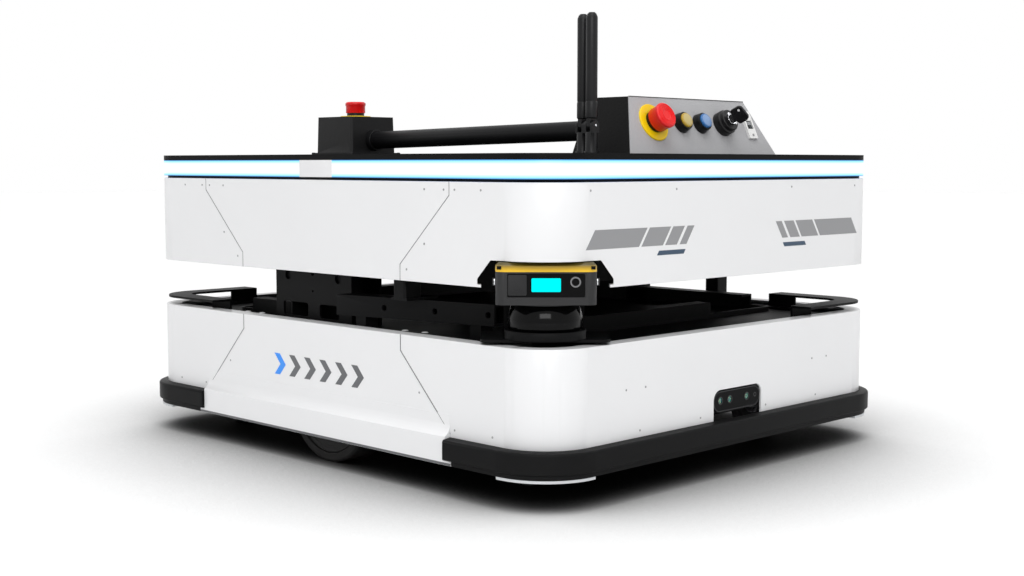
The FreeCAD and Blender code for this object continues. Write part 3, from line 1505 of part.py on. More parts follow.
def button_bezel(name, place):
    """The tapered dark bezel that guides a push button."""
    bore, high, floor = s["button_radius"] + s["button_gap"], s["bezel_height"], s["bezel_floor"]
    wide, narrow = bore + s["bezel_low_wall"], bore + s["bezel_high_wall"]
    return turned_piece(name, place, [(0, 0), (wide, 0), (narrow, high), (bore, high), (bore, floor),
                                      (0, floor)])


def key_switch_body(place):
    """The stepped body of the key switch, bored for its core."""
    wide, step, edge = s["switch_radius"], s["switch_step"], s["switch_edge"]
    narrow = wide - s["switch_step_in"]
    high, floor = s["switch_height"], s["switch_floor"]
    bore = s["key_core_radius"] + s["pivot_clearance"]
    return turned_piece("KeySwitchBody", place, [(0, 0), (wide, 0), (wide, step - edge), (narrow, step),
                                                 (narrow, high - edge), (narrow - edge, high),
                                                 (bore, high), (bore, floor), (0, floor)])


def switch_key(place):
    """The turning core of the key switch with the key standing in it."""
    body = new_body("switch_key")
    low, high = s["switch_floor"] + s["seat_gap"], s["switch_height"] + s["key_core_proud"]
    barrel = new_sketch(body, "XY_Plane", "BarrelPlan", low)
    ring(barrel, (0, 0), s["key_core_radius"])
    pad(body, barrel, high - low, "Barrel")
    neck, bow, tall = s["key_neck_half"], s["key_bow_half"], s["key_height"]
    shoulder, bend, foot = high + s["key_shoulder"], s["key_bow_bend"], s["key_foot_bend"]
    flare = shoulder + s["key_shoulder_lean"]
    blade = new_sketch(body, "XZ_Plane", "BowFace")
    outline(blade, [(-neck, high), (neck, high), (neck, shoulder), (bow, flare, foot), (bow, tall, bend),
                    (-bow, tall, bend), (-bow, flare, foot), (-neck, shoulder)])
    pad(body, blade, s["key_thick"], "Bow", both=True)
    turn = Rotation(Vector(0, 0, 1), s["key_rest_angle"].value)
    return keep(body, "switch_key", place * Placement(Vector(0, 0, 0), turn))


def port_plate():
    """The small light plate with the network socket."""
    body = new_body("port_plate")
    tall, wide, thick = s["port_plate_tall"] / 2, s["port_plate_wide"] / 2, s["port_plate_thick"]
    slab(body, (-tall, -wide), (tall, wide), 0, thick, "Plate", s["port_bend"])
    hole = new_sketch(body, "XY_Plane", "SocketFace", thick)
    half = s["socket_half"]
    rectangle(hole, (-half, -half), (half, half))
    pocket(body, hole, thick - s["socket_floor"], "Socket")
    return keep(body, "port_plate", panel_place("port_y"))


def rear_stop_box():
    """The drafted box behind the console that carries the second emergency stop."""
    body = new_body("rear_stop_box")
    flange, thick = s["box_flange"] / 2, s["box_flange_thick"]
    x, half, draft, bend = box_x, s["box_side"] / 2, s["box_draft"], s["box_bend"]
    slab(body, (x - flange, -flange), (x + flange, flange), plate_top - s["seat_recess"],
         thick + s["seat_recess"], "Flange", s["flange_bend"])
    foot = new_sketch(body, "XY_Plane", "BoxFoot", plate_top + thick)
    rectangle(foot, (x - half, -half), (x + half, half), bend)
    high = new_sketch(body, "XY_Plane", "BoxTop", plate_top + s["box_height"])
    rectangle(high, (x - half + draft, draft - half), (x + half - draft, half - draft), bend)
    loft(body, (foot, high), "Box")
    return keep(body, "rear_stop_box")


def conduit():
    """The rising conduit from the rear box to the console."""
    body = new_body("conduit")
    start = box_x + s["box_side"] / 2
    plans = []
    for label, x, rise in (("Low", start, s["conduit_low"]), ("High", console_rear, s["conduit_high"])):
        plan = new_sketch(body, "YZ_Plane", f"{label}End", x)
        ring(plan, (0, plate_top + rise), s["conduit_radius"])
        plans.append(plan)
    loft(body, plans, "Tube")
    return keep(body, "conduit")


def antenna_place(label):
    """The foot of one antenna on the top plate."""
    return turned(0, *antenna_spot(label), plate_top)


def antenna_base(label):
    """The screwed foot of an antenna, with the fork and the pin of its knuckle."""
    body = new_body("AntennaBase")
    radius, pin, slot = s["antenna_radius"], s["antenna_pin_rise"], s["knuckle_slot"] / 2
    floor = pin - radius - s["knuckle_gap"]
    deep = s["seat_recess"]
    nut = radius + s["antenna_nut_wall"]
    for name, size, high in (("Nut", nut, s["antenna_nut_high"]), ("Post", radius, floor)):
        plan = new_sketch(body, "XY_Plane", f"{name}Plan", -deep)
        ring(plan, (0, 0), size)
        pad(body, plan, deep + high, name)
    wide, low = s["cheek_half"], floor - s["cheek_overlap"]
    for side, name in ((-1, "Right"), (1, "Left")):
        ends = in_order(side * slot, side * (radius - s["cheek_setback"]))
        cheek = new_sketch(body, "YZ_Plane", f"{name}Cheek", ends[0])
        bend = wide * FULL_ROUND
        outline(cheek, [(-wide, low), (wide, low), (wide, pin + wide, bend), (-wide, pin + wide, bend)])
        pad(body, cheek, ends[1] - ends[0], f"{name}Cheek")
    hinge = new_sketch(body, "YZ_Plane", "PinCircle", -slot)
    ring(hinge, (0, pin), s["knuckle_pin"])
    pad(body, hinge, slot * 2, "Pin")
    return placed(body, antenna_place(label))


def antenna_mast(label):
    """The folding mast of an antenna, upright at rest, with its tongue in the knuckle."""
    body = new_body(f"antenna_mast_{label}")
    radius, pin, tall = s["antenna_radius"], s["antenna_pin_rise"], s["antenna_length"]
    half = s["knuckle_slot"] / 2 - s["seat_gap"]
    wide = s["cheek_half"] - s["tongue_shy"]
    foot = pin + radius + s["knuckle_gap"] + s["mast_foot_gap"]
    bend, root = wide * FULL_ROUND, foot + s["tongue_overlap"]
    tongue = new_sketch(body, "YZ_Plane", "TongueFace", -half)
    outline(tongue, [(-wide, pin - wide, bend), (wide, pin - wide, bend), (wide, root), (-wide, root)])
    ring(tongue, (0, pin), s["knuckle_pin"] + s["pivot_clearance"])
    pad(body, tongue, half * 2, "Tongue")
    profile = new_sketch(body, "XZ_Plane", "MastProfile")
    step, tip, edge, end = s["mast_step"], s["mast_tip_radius"], s["mast_edge"], s["mast_tip_edge"]
    outline(profile, [(0, foot), (radius - edge, foot), (radius, foot + edge), (radius, step),
                      (radius - s["mast_step_in"], step + s["mast_step_high"]), (tip, tall - end),
                      (tip - end, tall), (0, tall)])
    revolve(body, profile, "Mast")
    return keep(body, f"antenna_mast_{label}", antenna_place(label))


console()
front_stop = panel_place("stop_y")
rear_stop = turned(0, box_x, 0, plate_top + s["box_height"])
group("stop_bases", [stop_base("StopBase", place) for place in (front_stop, rear_stop)])
stop_head("stop_head_front", front_stop)
stop_head("stop_head_rear", rear_stop)
yellow, blue, keyed = panel_place("button_a_y"), panel_place("button_b_y"), panel_place("key_y")
group("control_bezels", [button_bezel("YellowBezel", yellow), button_bezel("BlueBezel", blue),
                         key_switch_body(keyed)])
button_cap("button_yellow", yellow)
button_cap("button_blue", blue)
switch_key(keyed)
port_plate()
rear_stop_box()
conduit()
group("antenna_bases", [antenna_base(label) for label in ("a", "b")])
antenna_mast("a")
antenna_mast("b")


# --- Export -----------------------------------------------------------------------------------

doc.recompute()
for item in doc.Objects:
    if "Invalid" in item.State or "Error" in item.State:
        raise RuntimeError(f"{item.Label} failed: {item.State}")
for item in parts:
    if item.Shape.isNull() or not item.Shape.isValid() or not item.Shape.Solids:
        raise RuntimeError(f"{item.Label} has no valid solid")
os.makedirs("parts", exist_ok=True)
for item in parts:
    item.Shape.exportStep(f"parts/{item.Label}.step")
    print(f"{item.Label}: {len(item.Shape.Solids)} solids, {round(item.Shape.Volume)} mm3")
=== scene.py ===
"""Autonomous mobile robot: finishes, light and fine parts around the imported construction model.

Lengths are in metres, in the frame of the construction model: +X is the driving direction, +Y the
left-hand side and +Z up, with the floor at Z = 0. Where a class or a comment says millimetres, that holds
for the values without MM.
"""
import json
import logging
import math
from dataclasses import dataclass, field
from enum import Enum
from typing import Callable, Iterable, Mapping, Sequence

import bmesh
import bpy
from mathutils import Matrix, Vector

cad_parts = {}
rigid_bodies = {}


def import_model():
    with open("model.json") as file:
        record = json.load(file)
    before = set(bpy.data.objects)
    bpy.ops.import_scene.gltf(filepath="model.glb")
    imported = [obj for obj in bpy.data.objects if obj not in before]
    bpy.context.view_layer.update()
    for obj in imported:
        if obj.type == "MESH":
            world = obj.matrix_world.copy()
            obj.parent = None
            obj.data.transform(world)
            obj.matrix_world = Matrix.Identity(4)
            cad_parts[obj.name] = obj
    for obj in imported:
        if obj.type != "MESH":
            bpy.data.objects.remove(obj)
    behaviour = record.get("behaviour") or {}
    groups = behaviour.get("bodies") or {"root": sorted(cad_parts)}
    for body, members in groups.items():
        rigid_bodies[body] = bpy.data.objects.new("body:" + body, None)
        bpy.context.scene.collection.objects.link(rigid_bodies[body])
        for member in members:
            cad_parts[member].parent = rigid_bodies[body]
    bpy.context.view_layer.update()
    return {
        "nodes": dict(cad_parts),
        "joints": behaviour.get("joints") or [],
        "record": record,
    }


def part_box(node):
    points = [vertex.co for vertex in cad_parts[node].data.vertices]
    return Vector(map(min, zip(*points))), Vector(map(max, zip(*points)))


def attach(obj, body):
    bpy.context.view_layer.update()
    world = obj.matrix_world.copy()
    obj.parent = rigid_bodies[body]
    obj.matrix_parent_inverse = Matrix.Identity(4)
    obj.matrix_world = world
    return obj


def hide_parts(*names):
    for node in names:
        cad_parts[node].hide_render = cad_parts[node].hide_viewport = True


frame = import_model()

LOG = logging.getLogger("robot")
MM = 0.001
MERGE_DISTANCE = 1e-6
WELD_DISTANCE = 1e-5
SHARP_ANGLE = math.radians(32)
FULL_TURN = math.tau
ENDS = (1, -1)

Colour = tuple[float, float, float]
Point = tuple[float, float]
Spot = tuple[float, float, float]
Tile = tuple[float, float, float, float]    # half length, half width, corner radius, height in mm
Shape = bmesh.types.BMesh
Edges = list[bmesh.types.BMEdge]
Node = bpy.types.Node
Socket = bpy.types.NodeSocket
Feeds = Mapping[str | int, object]


class Slot(str, Enum):
    """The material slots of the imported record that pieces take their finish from."""

    COVER = "cover_paint"
    RUBBER = "bumper_rubber"
    RAIL = "rail_plastic"
    PAD = "pad_plastic"
    LIGHT = "light_guide"
    PLATE = "plate_black"
    STEEL = "frame_steel"
    CASE = "case_aluminium"
    SCANNER = "scanner_grey"
    YELLOW = "signal_yellow"
    WINDOW = "dark_window"
    CAMERA = "camera_body"
    HUB = "hub_plastic"
    TYRE = "tyre_rubber"
    MOTOR = "motor_metal"
    ZINC = "zinc_steel"
    CASTER = "caster_tread"
    CONSOLE = "console_paint"
    PANEL = "panel_grey"
    STOP_PLATE = "stop_yellow"
    STOP_HEAD = "stop_red"
    BEZEL = "bezel_metal"
    YELLOW_CAP = "button_yellow"
    BLUE_CAP = "button_blue"
    KEY = "key_steel"
    PORT = "port_plastic"
    BOX = "box_grey"
    CONDUIT = "conduit_grey"
    ANTENNA = "antenna_black"


# --- Shader nodes -----------------------------------------------------------------------------

@dataclass(frozen=True)
class Wiring:
    """Adds shader nodes to one tree and joins what feeds them."""

    tree: bpy.types.NodeTree

    def feed(self, node: Node, feeds: Feeds) -> None:
        """Set or join a node's inputs.

        Args:
            node: The node to feed.
            feeds: For each input a socket to join, a number, or a colour.
        """
        for key, value in feeds.items():
            if isinstance(value, Socket):
                self.tree.links.new(value, node.inputs[key])
            else:
                node.inputs[key].default_value = (*value, 1) if isinstance(value, tuple) else value

    def add(self, kind: str, feeds: Feeds | None = None, **settings: object) -> Node:
        """Add a node.

        Args:
            kind: Blender's type of shader node, without its prefix.
            feeds: What feeds its inputs.
            **settings: Properties of the node.

        Returns:
            The new node.
        """
        made = self.tree.nodes.new(f"ShaderNode{kind}")
        for key, value in settings.items():
            setattr(made, key, value)
        self.feed(made, feeds or {})
        return made

    def math(self, operation: str, *values: object) -> Socket:
        """The outcome of a sum on one or two values."""
        return self.add("Math", dict(enumerate(values)), operation=operation).outputs["Value"]

    def blend(self, factor: object, first: object, second: object, **settings: object) -> Socket:
        """The colour between two colours."""
        feeds = {"Factor": factor, "A": first, "B": second}
        return self.add("Mix", feeds, data_type="RGBA", **settings).outputs["Result"]

    def ramp(self, factor: Socket, stops: Sequence[tuple[float, Colour]]) -> Socket:
        """Turn a value into a colour.

        Args:
            factor: The value.
            stops: The positions and colours that the ramp passes through.

        Returns:
            The colour.
        """
        made = self.add("ValToRGB", {"Fac": factor})
        for stop, (position, colour) in zip(made.color_ramp.elements, (stops[0], stops[-1])):
            stop.position = position
            stop.color = (*colour, 1)
        for position, colour in stops[1:-1]:
            made.color_ramp.elements.new(position).color = (*colour, 1)
        return made.outputs["Color"]


def start_group(name: str, numbers: Mapping[str, float], outputs: Sequence[str]) -> tuple[Wiring, Node, Node]:
    """Start a shader node group that reads a Place and some numbers.

    Args:
        name: The group's name.
        numbers: Its number inputs with their defaults.
        outputs: The values that it puts out.

    Returns:
        The group's wiring, its inlet and its outlet.
    """
    tree = bpy.data.node_groups.new(name, "ShaderNodeTree")
    tree.interface.new_socket(name="Place", in_out="INPUT", socket_type="NodeSocketVector")
    for key, value in numbers.items():
        number = tree.interface.new_socket(name=key, in_out="INPUT", socket_type="NodeSocketFloat")
        number.default_value = value
    for key in outputs:
        tree.interface.new_socket(name=key, in_out="OUTPUT", socket_type="NodeSocketFloat")
    return Wiring(tree), tree.nodes.new("NodeGroupInput"), tree.nodes.new("NodeGroupOutput")


def grain_group() -> bpy.types.NodeTree:
    """Two layers of noise: a fine grain as Height, and slow patches as Mottle.

    Returns:
        The node group, with inputs Place, Grain Scale and Mottle Scale.
    """
    numbers = {"Grain Scale": 900.0, "Mottle Scale": 9.0}
    wires, inlet, outlet = start_group("surface_grain", numbers, ("Height", "Mottle"))
    for scale, detail, out in (("Grain Scale", 3.0, "Height"), ("Mottle Scale", 4.0, "Mottle")):
        noise = wires.add("TexNoise", {"Vector": inlet.outputs["Place"], "Scale": inlet.outputs[scale],
                                       "Detail": detail})
        wires.feed(outlet, {out: noise.outputs["Fac"]})
    return wires.tree


def pebble_group() -> bpy.types.NodeTree:
    """A pebbled texture coat, as sprayed on cabinets: closed cells with soft valleys.

    Returns:
        The node group, with inputs Place and Cell Scale and output Height.
    """
    wires, inlet, outlet = start_group("pebble_coat", {"Cell Scale": 700.0}, ("Height",))
    place = inlet.outputs["Place"]
    cells = wires.add("TexVoronoi", {"Vector": place, "Scale": inlet.outputs["Cell Scale"],
                                     "Smoothness": 0.6}, feature="SMOOTH_F1")
    soft = wires.add("TexNoise", {"Vector": place, "Scale": 260.0})
    wires.feed(outlet, {"Height": wires.math("ADD", cells.outputs["Distance"], soft.outputs["Fac"])})
    return wires.tree


def dust_group() -> bpy.types.NodeTree:
    """Road dust that gathers near the floor, broken up by noise.

    Returns:
        The node group, with inputs Place, Top and Amount and output Mask.
    """
    wires, inlet, outlet = start_group("floor_dust", {"Top": 0.12, "Amount": 0.2}, ("Mask",))
    place = inlet.outputs["Place"]
    level = wires.add("SeparateXYZ", {"Vector": place}).outputs["Z"]
    fade = wires.add("MapRange", {"Value": level, "From Min": 0.0, "From Max": inlet.outputs["Top"],
                                  "To Min": 1.0, "To Max": 0.0})
    noise = wires.add("TexNoise", {"Vector": place, "Scale": 60.0, "Detail": 6.0})
    patch = wires.math("MULTIPLY", fade.outputs["Result"], noise.outputs["Fac"])
    wires.feed(outlet, {"Mask": wires.math("MULTIPLY", patch, inlet.outputs["Amount"])})
    return wires.tree


GRAIN = grain_group()
PEBBLE = pebble_group()
DUST = dust_group()
DUST_COLOUR: Colour = (0.30, 0.28, 0.25)
BLACK: Colour = (0.0, 0.0, 0.0)
WHITE: Colour = (1.0, 1.0, 1.0)
LOW_PATCH = 0.3
HIGH_PATCH = 0.7
LEAST_ROUGHNESS = 0.02


# --- Finishes ---------------------------------------------------------------------------------

@dataclass(frozen=True)
class Finish:
    """A painted, moulded or metal surface with fine grain, slow colour patches and optional dust."""

    name: str
    colour: Colour
    roughness: float
    metallic: float = 0.0
    specular: float = 0.5
    coat: float = 0.0
    coat_roughness: float = 0.1
    grain_scale: float = 900.0
    grain_depth: float = 0.03 * MM
    mottle: float = 0.05
    mottle_scale: float = 9.0
    gloss_spread: float = 0.08
    pebbled: bool = False
    dust: float = 0.0
    dust_top: float = 0.12

    def build(self) -> bpy.types.Material:
        """Make the material.

        Returns:
            The new material.
        """
        material = bpy.data.materials.new(self.name)
        material.use_nodes = True
        wires = Wiring(material.node_tree)
        shader = wires.tree.nodes["Principled BSDF"]
        place = wires.add("TexCoord").outputs["Object"]
        grain = wires.add("Group", {"Place": place, "Grain Scale": self.grain_scale,
                                    "Mottle Scale": self.mottle_scale}, node_tree=GRAIN).outputs
        height = grain["Height"]
        if self.pebbled:
            height = wires.add("Group", {"Place": place, "Cell Scale": self.grain_scale},
                               node_tree=PEBBLE).outputs["Height"]
        spread = self.gloss_spread / 2
        gloss = wires.add("MapRange", {"Value": grain["Mottle"],
                                       "From Min": LOW_PATCH, "From Max": HIGH_PATCH,
                                       "To Min": max(self.roughness - spread, LEAST_ROUGHNESS),
                                       "To Max": self.roughness + spread})
        bump = wires.add("Bump", {"Height": height, "Distance": self.grain_depth})
        wires.feed(shader, {"Base Color": self._colour(wires, place, grain["Mottle"]),
                            "Roughness": gloss.outputs["Result"], "Normal": bump.outputs["Normal"],
                            "Metallic": self.metallic, "Specular IOR Level": self.specular,
                            "Coat Weight": self.coat, "Coat Roughness": self.coat_roughness})
        self.extend(wires, shader, place)
        return material

    def _colour(self, wires: Wiring, place: Socket, mottle: Socket) -> Socket:
        """Vary the colour a little with the slow patches, and lay the floor dust over it.

        Args:
            wires: The material's wiring.
            place: The object coordinates.
            mottle: The patch value.

        Returns:
            The colour socket.
        """
        deep, pale = (tuple(min(channel * (1 + change), 1.0) for channel in self.colour)
                      for change in (-self.mottle, self.mottle))
        colour = wires.ramp(mottle, ((LOW_PATCH, deep), (HIGH_PATCH, pale)))
        if self.dust > 0:
            dust = wires.add("Group", {"Place": place, "Top": self.dust_top, "Amount": self.dust},
                             node_tree=DUST)
            colour = wires.blend(dust.outputs["Mask"], colour, DUST_COLOUR)
        return colour

    def extend(self, wires: Wiring, shader: Node, place: Socket) -> None:
        """Add what only some finishes have; the plain ones add nothing.

        Args:
            wires: The material's wiring.
            shader: The Principled shader.
            place: The object coordinates.
        """


def painted(shader: Node) -> Socket:
    """The socket that feeds a shader's base colour."""
    return shader.inputs["Base Color"].links[0].from_socket


@dataclass(frozen=True)
class LitGuide(Finish):
    """A frosted light guide: white in the middle and cyan to blue along its two edges."""

    bottom: float = 0.0
    top: float = 1.0
    block_half: float = 0.031
    glow: float = 1.0
    base: Colour = (0.01, 0.012, 0.014)
    edge: Colour = (0.02, 0.20, 0.75)
    fringe: Colour = (0.34, 0.93, 1.0)

    def extend(self, wires: Wiring, shader: Node, place: Socket) -> None:
        """Make the band glow between its opaque blocks.

        Args:
            wires: The material's wiring.
            shader: The Principled shader.
            place: The object coordinates.
        """
        parts = wires.add("SeparateXYZ", {"Vector": place}).outputs
        height = wires.add("MapRange", {"Value": parts["Z"], "From Min": self.bottom, "From Max": self.top})
        shine = wires.ramp(height.outputs["Result"], ((0.0, self.edge), (0.08, self.fringe), (0.24, WHITE),
                                                      (0.76, WHITE), (0.92, self.fringe), (1.0, self.edge)))
        lit = wires.math("GREATER_THAN", wires.math("ABSOLUTE", parts["X"]), self.block_half)
        wires.feed(shader, {"Base Color": wires.blend(lit, painted(shader), self.base),
                            "Emission Color": wires.blend(lit, BLACK, shine), "Emission Strength": self.glow})


@dataclass(frozen=True)
class GlintPaintedLens(Finish):
    """A lens with painted glints: small teal, blue and gold spots of emission stand for what its coating
    throws back.
    """

    glint_scale: float = 700.0
    strength: float = 0.9
    glints: tuple[tuple[float, Colour], ...] = ((0.36, (0.004, 0.02, 0.09)), (0.46, (0.0, 0.012, 0.015)),
                                                (0.54, (0.0, 0.30, 0.24)), (0.66, (0.55, 0.42, 0.10)))

    def extend(self, wires: Wiring, shader: Node, place: Socket) -> None:
        """Scatter the painted glints over the glass as emission.

        Args:
            wires: The material's wiring.
            shader: The Principled shader.
            place: The object coordinates.
        """
        noise = wires.add("TexNoise", {"Vector": place, "Scale": self.glint_scale}).outputs["Fac"]
        wires.feed(shader, {"Emission Color": wires.ramp(noise, self.glints),
                            "Emission Strength": self.strength})


@dataclass(frozen=True)
class CapShadeCoat(Finish):
    """A bright coat with painted shade: it turns to a deep tone between two levels, where the cap slopes
    back.
    """

    level: float = 0.0
    top: float = 1.0
    # the colour of the painted shade at the top of the slope
    deep: Colour = (0.085, 0.062, 0.006)

    def extend(self, wires: Wiring, shader: Node, place: Socket) -> None:
        """Paint shade up the slope by deepening the colour.

        Args:
            wires: The material's wiring.
            shader: The Principled shader.
            place: The object coordinates.
        """
        height = wires.add("SeparateXYZ", {"Vector": place}).outputs["Z"]
        rise = wires.add("MapRange", {"Value": height, "From Min": self.level, "From Max": self.top})
        wires.feed(shader, {"Base Color": wires.blend(rise.outputs["Result"], painted(shader), self.deep)})


@dataclass(frozen=True)
class Glow(Finish):
    """A lit display that shines in one colour."""

    shine: Colour = (0.0, 1.0, 1.0)
    strength: float = 1.0

    def extend(self, wires: Wiring, shader: Node, place: Socket) -> None:
        """Set the shine on the shader itself."""
        wires.feed(shader, {"Emission Color": self.shine, "Emission Strength": self.strength})


@dataclass(frozen=True)
class ShadedFloor(Finish):
    """A floor with painted shadow: its colour deepens where something stands close over it, and it still
    sends back plain light.
    """

    reach: float = 0.55
    shadow_tones: tuple[Point, ...] = ((0.14, 0.0), (0.44, 0.22), (0.70, 0.66), (0.90, 1.0))
    samples: int = 12

    def extend(self, wires: Wiring, shader: Node, place: Socket) -> None:
        """Paint shadow by multiplying the colour by how open the space above is, except in diffuse rays.

        Args:
            wires: The material's wiring.
            shader: The Principled shader.
            place: The object coordinates; not used.
        """
        openness = wires.add("AmbientOcclusion", {"Distance": self.reach}, samples=self.samples)
        greys = [(position, (grey, grey, grey)) for position, grey in self.shadow_tones]
        tone = wires.ramp(openness.outputs["AO"], greys)
        seen = wires.math("SUBTRACT", 1.0, wires.add("LightPath").outputs["Is Diffuse Ray"])
        wires.feed(shader, {"Base Color": wires.blend(seen, painted(shader), tone, blend_type="MULTIPLY")})


def film(name: str, colour: Colour) -> Finish:
    """A stuck-on stripe film of one colour."""
    return Finish(name, colour, 0.4, grain_scale=1100, mottle=0.01)


FINISHES: dict[Slot, Finish] = {
    Slot.COVER: Finish("satin_white_coat", (0.80, 0.803, 0.812), 0.34, specular=0.4, coat=0.25,
                       coat_roughness=0.22, grain_scale=700, grain_depth=0.012 * MM, mottle=0.008, dust=0.03,
                       dust_top=0.05),
    Slot.RUBBER: Finish("moulded_bumper_rubber", (0.0070, 0.0071, 0.0074), 0.46, specular=0.07,
                        grain_scale=1300, grain_depth=0.05 * MM, mottle=0.12, dust=0.02, dust_top=0.06),
    Slot.RAIL: Finish("hard_rail_plastic", (0.0060, 0.0061, 0.0064), 0.5, specular=0.1, dust=0.02,
                      dust_top=0.05),
    Slot.PAD: Finish("pale_wear_pad", (0.62, 0.64, 0.66), 0.4, grain_scale=500, dust=0.08, dust_top=0.05),
    Slot.LIGHT: Finish("frosted_guide", (0.80, 0.80, 0.81), 0.4),
    Slot.PLATE: Finish("textured_plate_black", (0.0060, 0.0061, 0.0064), 0.5, specular=0.05,
                       grain_scale=1500, grain_depth=0.06 * MM, mottle=0.1, pebbled=True),
    Slot.STEEL: Finish("black_powder_coat", (0.0036, 0.0037, 0.0040), 0.5, specular=0.09,
                       grain_scale=1200, grain_depth=0.04 * MM, mottle=0.1),
    Slot.CASE: Finish("anodised_case", (0.05, 0.051, 0.053), 0.42, metallic=0.6, specular=0.2,
                      grain_scale=1600),
    Slot.SCANNER: Finish("scanner_shell", (0.026, 0.026, 0.027), 0.44, specular=0.2, grain_scale=1800,
                         grain_depth=0.03 * MM),
    # On the scanner caps this yellow is darkened up the slope as painted shade.
    Slot.YELLOW: Finish("safety_yellow_coat_painted_shade", (0.78, 0.47, 0.008), 0.38, specular=0.25, grain_scale=900,
                        mottle=0.03),
    Slot.WINDOW: Finish("infrared_window", (0.0008, 0.0008, 0.0010), 0.12, specular=0.05, coat=0.16,
                        coat_roughness=0.08, grain_depth=0.002 * MM, gloss_spread=0.03),
    Slot.CAMERA: Finish("camera_shell", (0.0040, 0.0042, 0.0045), 0.36, specular=0.05, grain_scale=1700),
    Slot.HUB: Finish("hub_casting", (0.013, 0.013, 0.0135), 0.5, specular=0.15, grain_scale=800, dust=0.03,
                     dust_top=0.12),
    Slot.TYRE: Finish("tyre_rubber", (0.0085, 0.0085, 0.009), 0.62, specular=0.15, grain_scale=500,
                      grain_depth=0.1 * MM, mottle=0.2, dust=0.05, dust_top=0.06),
    Slot.MOTOR: Finish("cast_motor_metal", (0.10, 0.102, 0.106), 0.45, metallic=0.9, grain_scale=600,
                       grain_depth=0.08 * MM, dust=0.05),
    Slot.ZINC: Finish("zinc_plate", (0.42, 0.43, 0.45), 0.32, metallic=1.0, grain_scale=450,
                      grain_depth=0.02 * MM, mottle=0.12, mottle_scale=90, gloss_spread=0.2, dust=0.05),
    Slot.CASTER: Finish("caster_polyurethane", (0.030, 0.030, 0.033), 0.45, specular=0.3, grain_scale=500,
                        mottle=0.1, dust=0.12, dust_top=0.05),
    Slot.CONSOLE: Finish("dark_texture_coat", (0.0052, 0.0052, 0.0054), 0.5, specular=0.1,
                         grain_scale=620, grain_depth=0.16 * MM, mottle=0.1, pebbled=True),
    Slot.PANEL: Finish("grey_texture_coat", (0.42, 0.42, 0.432), 0.5, specular=0.3,
                       grain_scale=430, grain_depth=0.22 * MM, mottle=0.03, pebbled=True),
    Slot.STOP_PLATE: Finish("yellow_disc_plastic", (0.95, 0.66, 0.004), 0.36, specular=0.3, mottle=0.02),
    Slot.STOP_HEAD: Finish("red_button_plastic", (0.80, 0.007, 0.009), 0.3, specular=0.35, mottle=0.02,
                           grain_scale=1500, grain_depth=0.01 * MM),
    Slot.BEZEL: Finish("black_button_housing", (0.006, 0.006, 0.0065), 0.34, specular=0.25, grain_scale=1800),
    Slot.YELLOW_CAP: Finish("amber_button_rim", (0.50, 0.33, 0.03), 0.3, mottle=0.02),
    Slot.BLUE_CAP: Finish("blue_button_rim", (0.025, 0.15, 0.42), 0.3, mottle=0.02),
    Slot.KEY: Finish("black_key_grip", (0.006, 0.006, 0.0065), 0.42, specular=0.25, grain_scale=1600),
    Slot.PORT: Finish("white_port_plastic", (0.82, 0.82, 0.81), 0.4, grain_scale=1400, mottle=0.01),
    Slot.BOX: Finish("dark_box_coat", (0.0125, 0.0125, 0.013), 0.46, specular=0.16, grain_scale=620,
                     grain_depth=0.10 * MM, pebbled=True),
    Slot.CONDUIT: Finish("black_conduit", (0.0085, 0.0086, 0.0094), 0.42, specular=0.12, grain_scale=1400),
    Slot.ANTENNA: Finish("antenna_sleeve", (0.0065, 0.0067, 0.0075), 0.40, specular=0.25, grain_scale=1500,
                         grain_depth=0.03 * MM),
}
CORE_STEEL = Finish("polished_key_core", (0.72, 0.73, 0.75), 0.2, metallic=1.0, mottle_scale=200,
                    gloss_spread=0.15)
AMBER_FACE = Finish("amber_button_face", (0.52, 0.42, 0.17), 0.36, mottle=0.03)
BLUE_FACE = Finish("blue_button_face", (0.20, 0.32, 0.55), 0.36, mottle=0.03)
STRIPE_GREY = film("grey_stripe_film", (0.27, 0.272, 0.28))
# Slate film for the printed chevrons, also used as painted shade along the sill foot.
SLATE_FILM_AND_SHADE = film("slate_film_and_painted_shade", (0.115, 0.118, 0.125))
STRIPE_NAVY = film("navy_stripe_film", (0.022, 0.055, 0.10))
STRIPE_BLUE = film("blue_stripe_film", (0.03, 0.28, 0.90))
# Grey for the painted shade in the cover seams.
SEAM_SHADE_GREY = Finish("seam_painted_shade", (0.20, 0.20, 0.205), 0.5)
DISPLAY = Glow("cyan_display", (0.0, 0.02, 0.02), 0.5, specular=0.0)
PANEL_GLOSS = Finish("scanner_panel_gloss", (0.003, 0.003, 0.0032), 0.3, specular=0.06, mottle=0.02,
                     grain_depth=0.002 * MM)
FLAP_GREY = Finish("port_flap_rubber", (0.022, 0.022, 0.023), 0.5, specular=0.15, grain_scale=1500)
RING_GREY = Finish("printed_ring", (0.16, 0.16, 0.165), 0.4)
# The coated lenses' glints are painted on as emission.
LENS_TEAL_GLINTS = GlintPaintedLens("lens_painted_glints", (0.002, 0.008, 0.010), 0.08, specular=0.3, coat=0.5,
                       coat_roughness=0.03)
LENS_DARK = Finish("dark_lens", (0.002, 0.002, 0.003), 0.08, specular=0.3)
SOCKET_DARK = Finish("socket_dark", (0.02, 0.025, 0.027), 0.45, specular=0.3)
SCREW_GREY = Finish("small_screw", (0.34, 0.34, 0.345), 0.45, metallic=0.2, mottle=0.1, mottle_scale=300)


class Paint:
    """Builds each finish once and hands out its material."""

    def __init__(self) -> None:
        """Start with no materials."""
        self._made: dict[str, bpy.types.Material] = {}

    def of(self, finish: Finish) -> bpy.types.Material:
        """The material of a finish.

        Args:
            finish: The finish to build or find.

        Returns:
            Its material.
        """
        if finish.name not in self._made:
            self._made[finish.name] = finish.build()
        return self._made[finish.name]


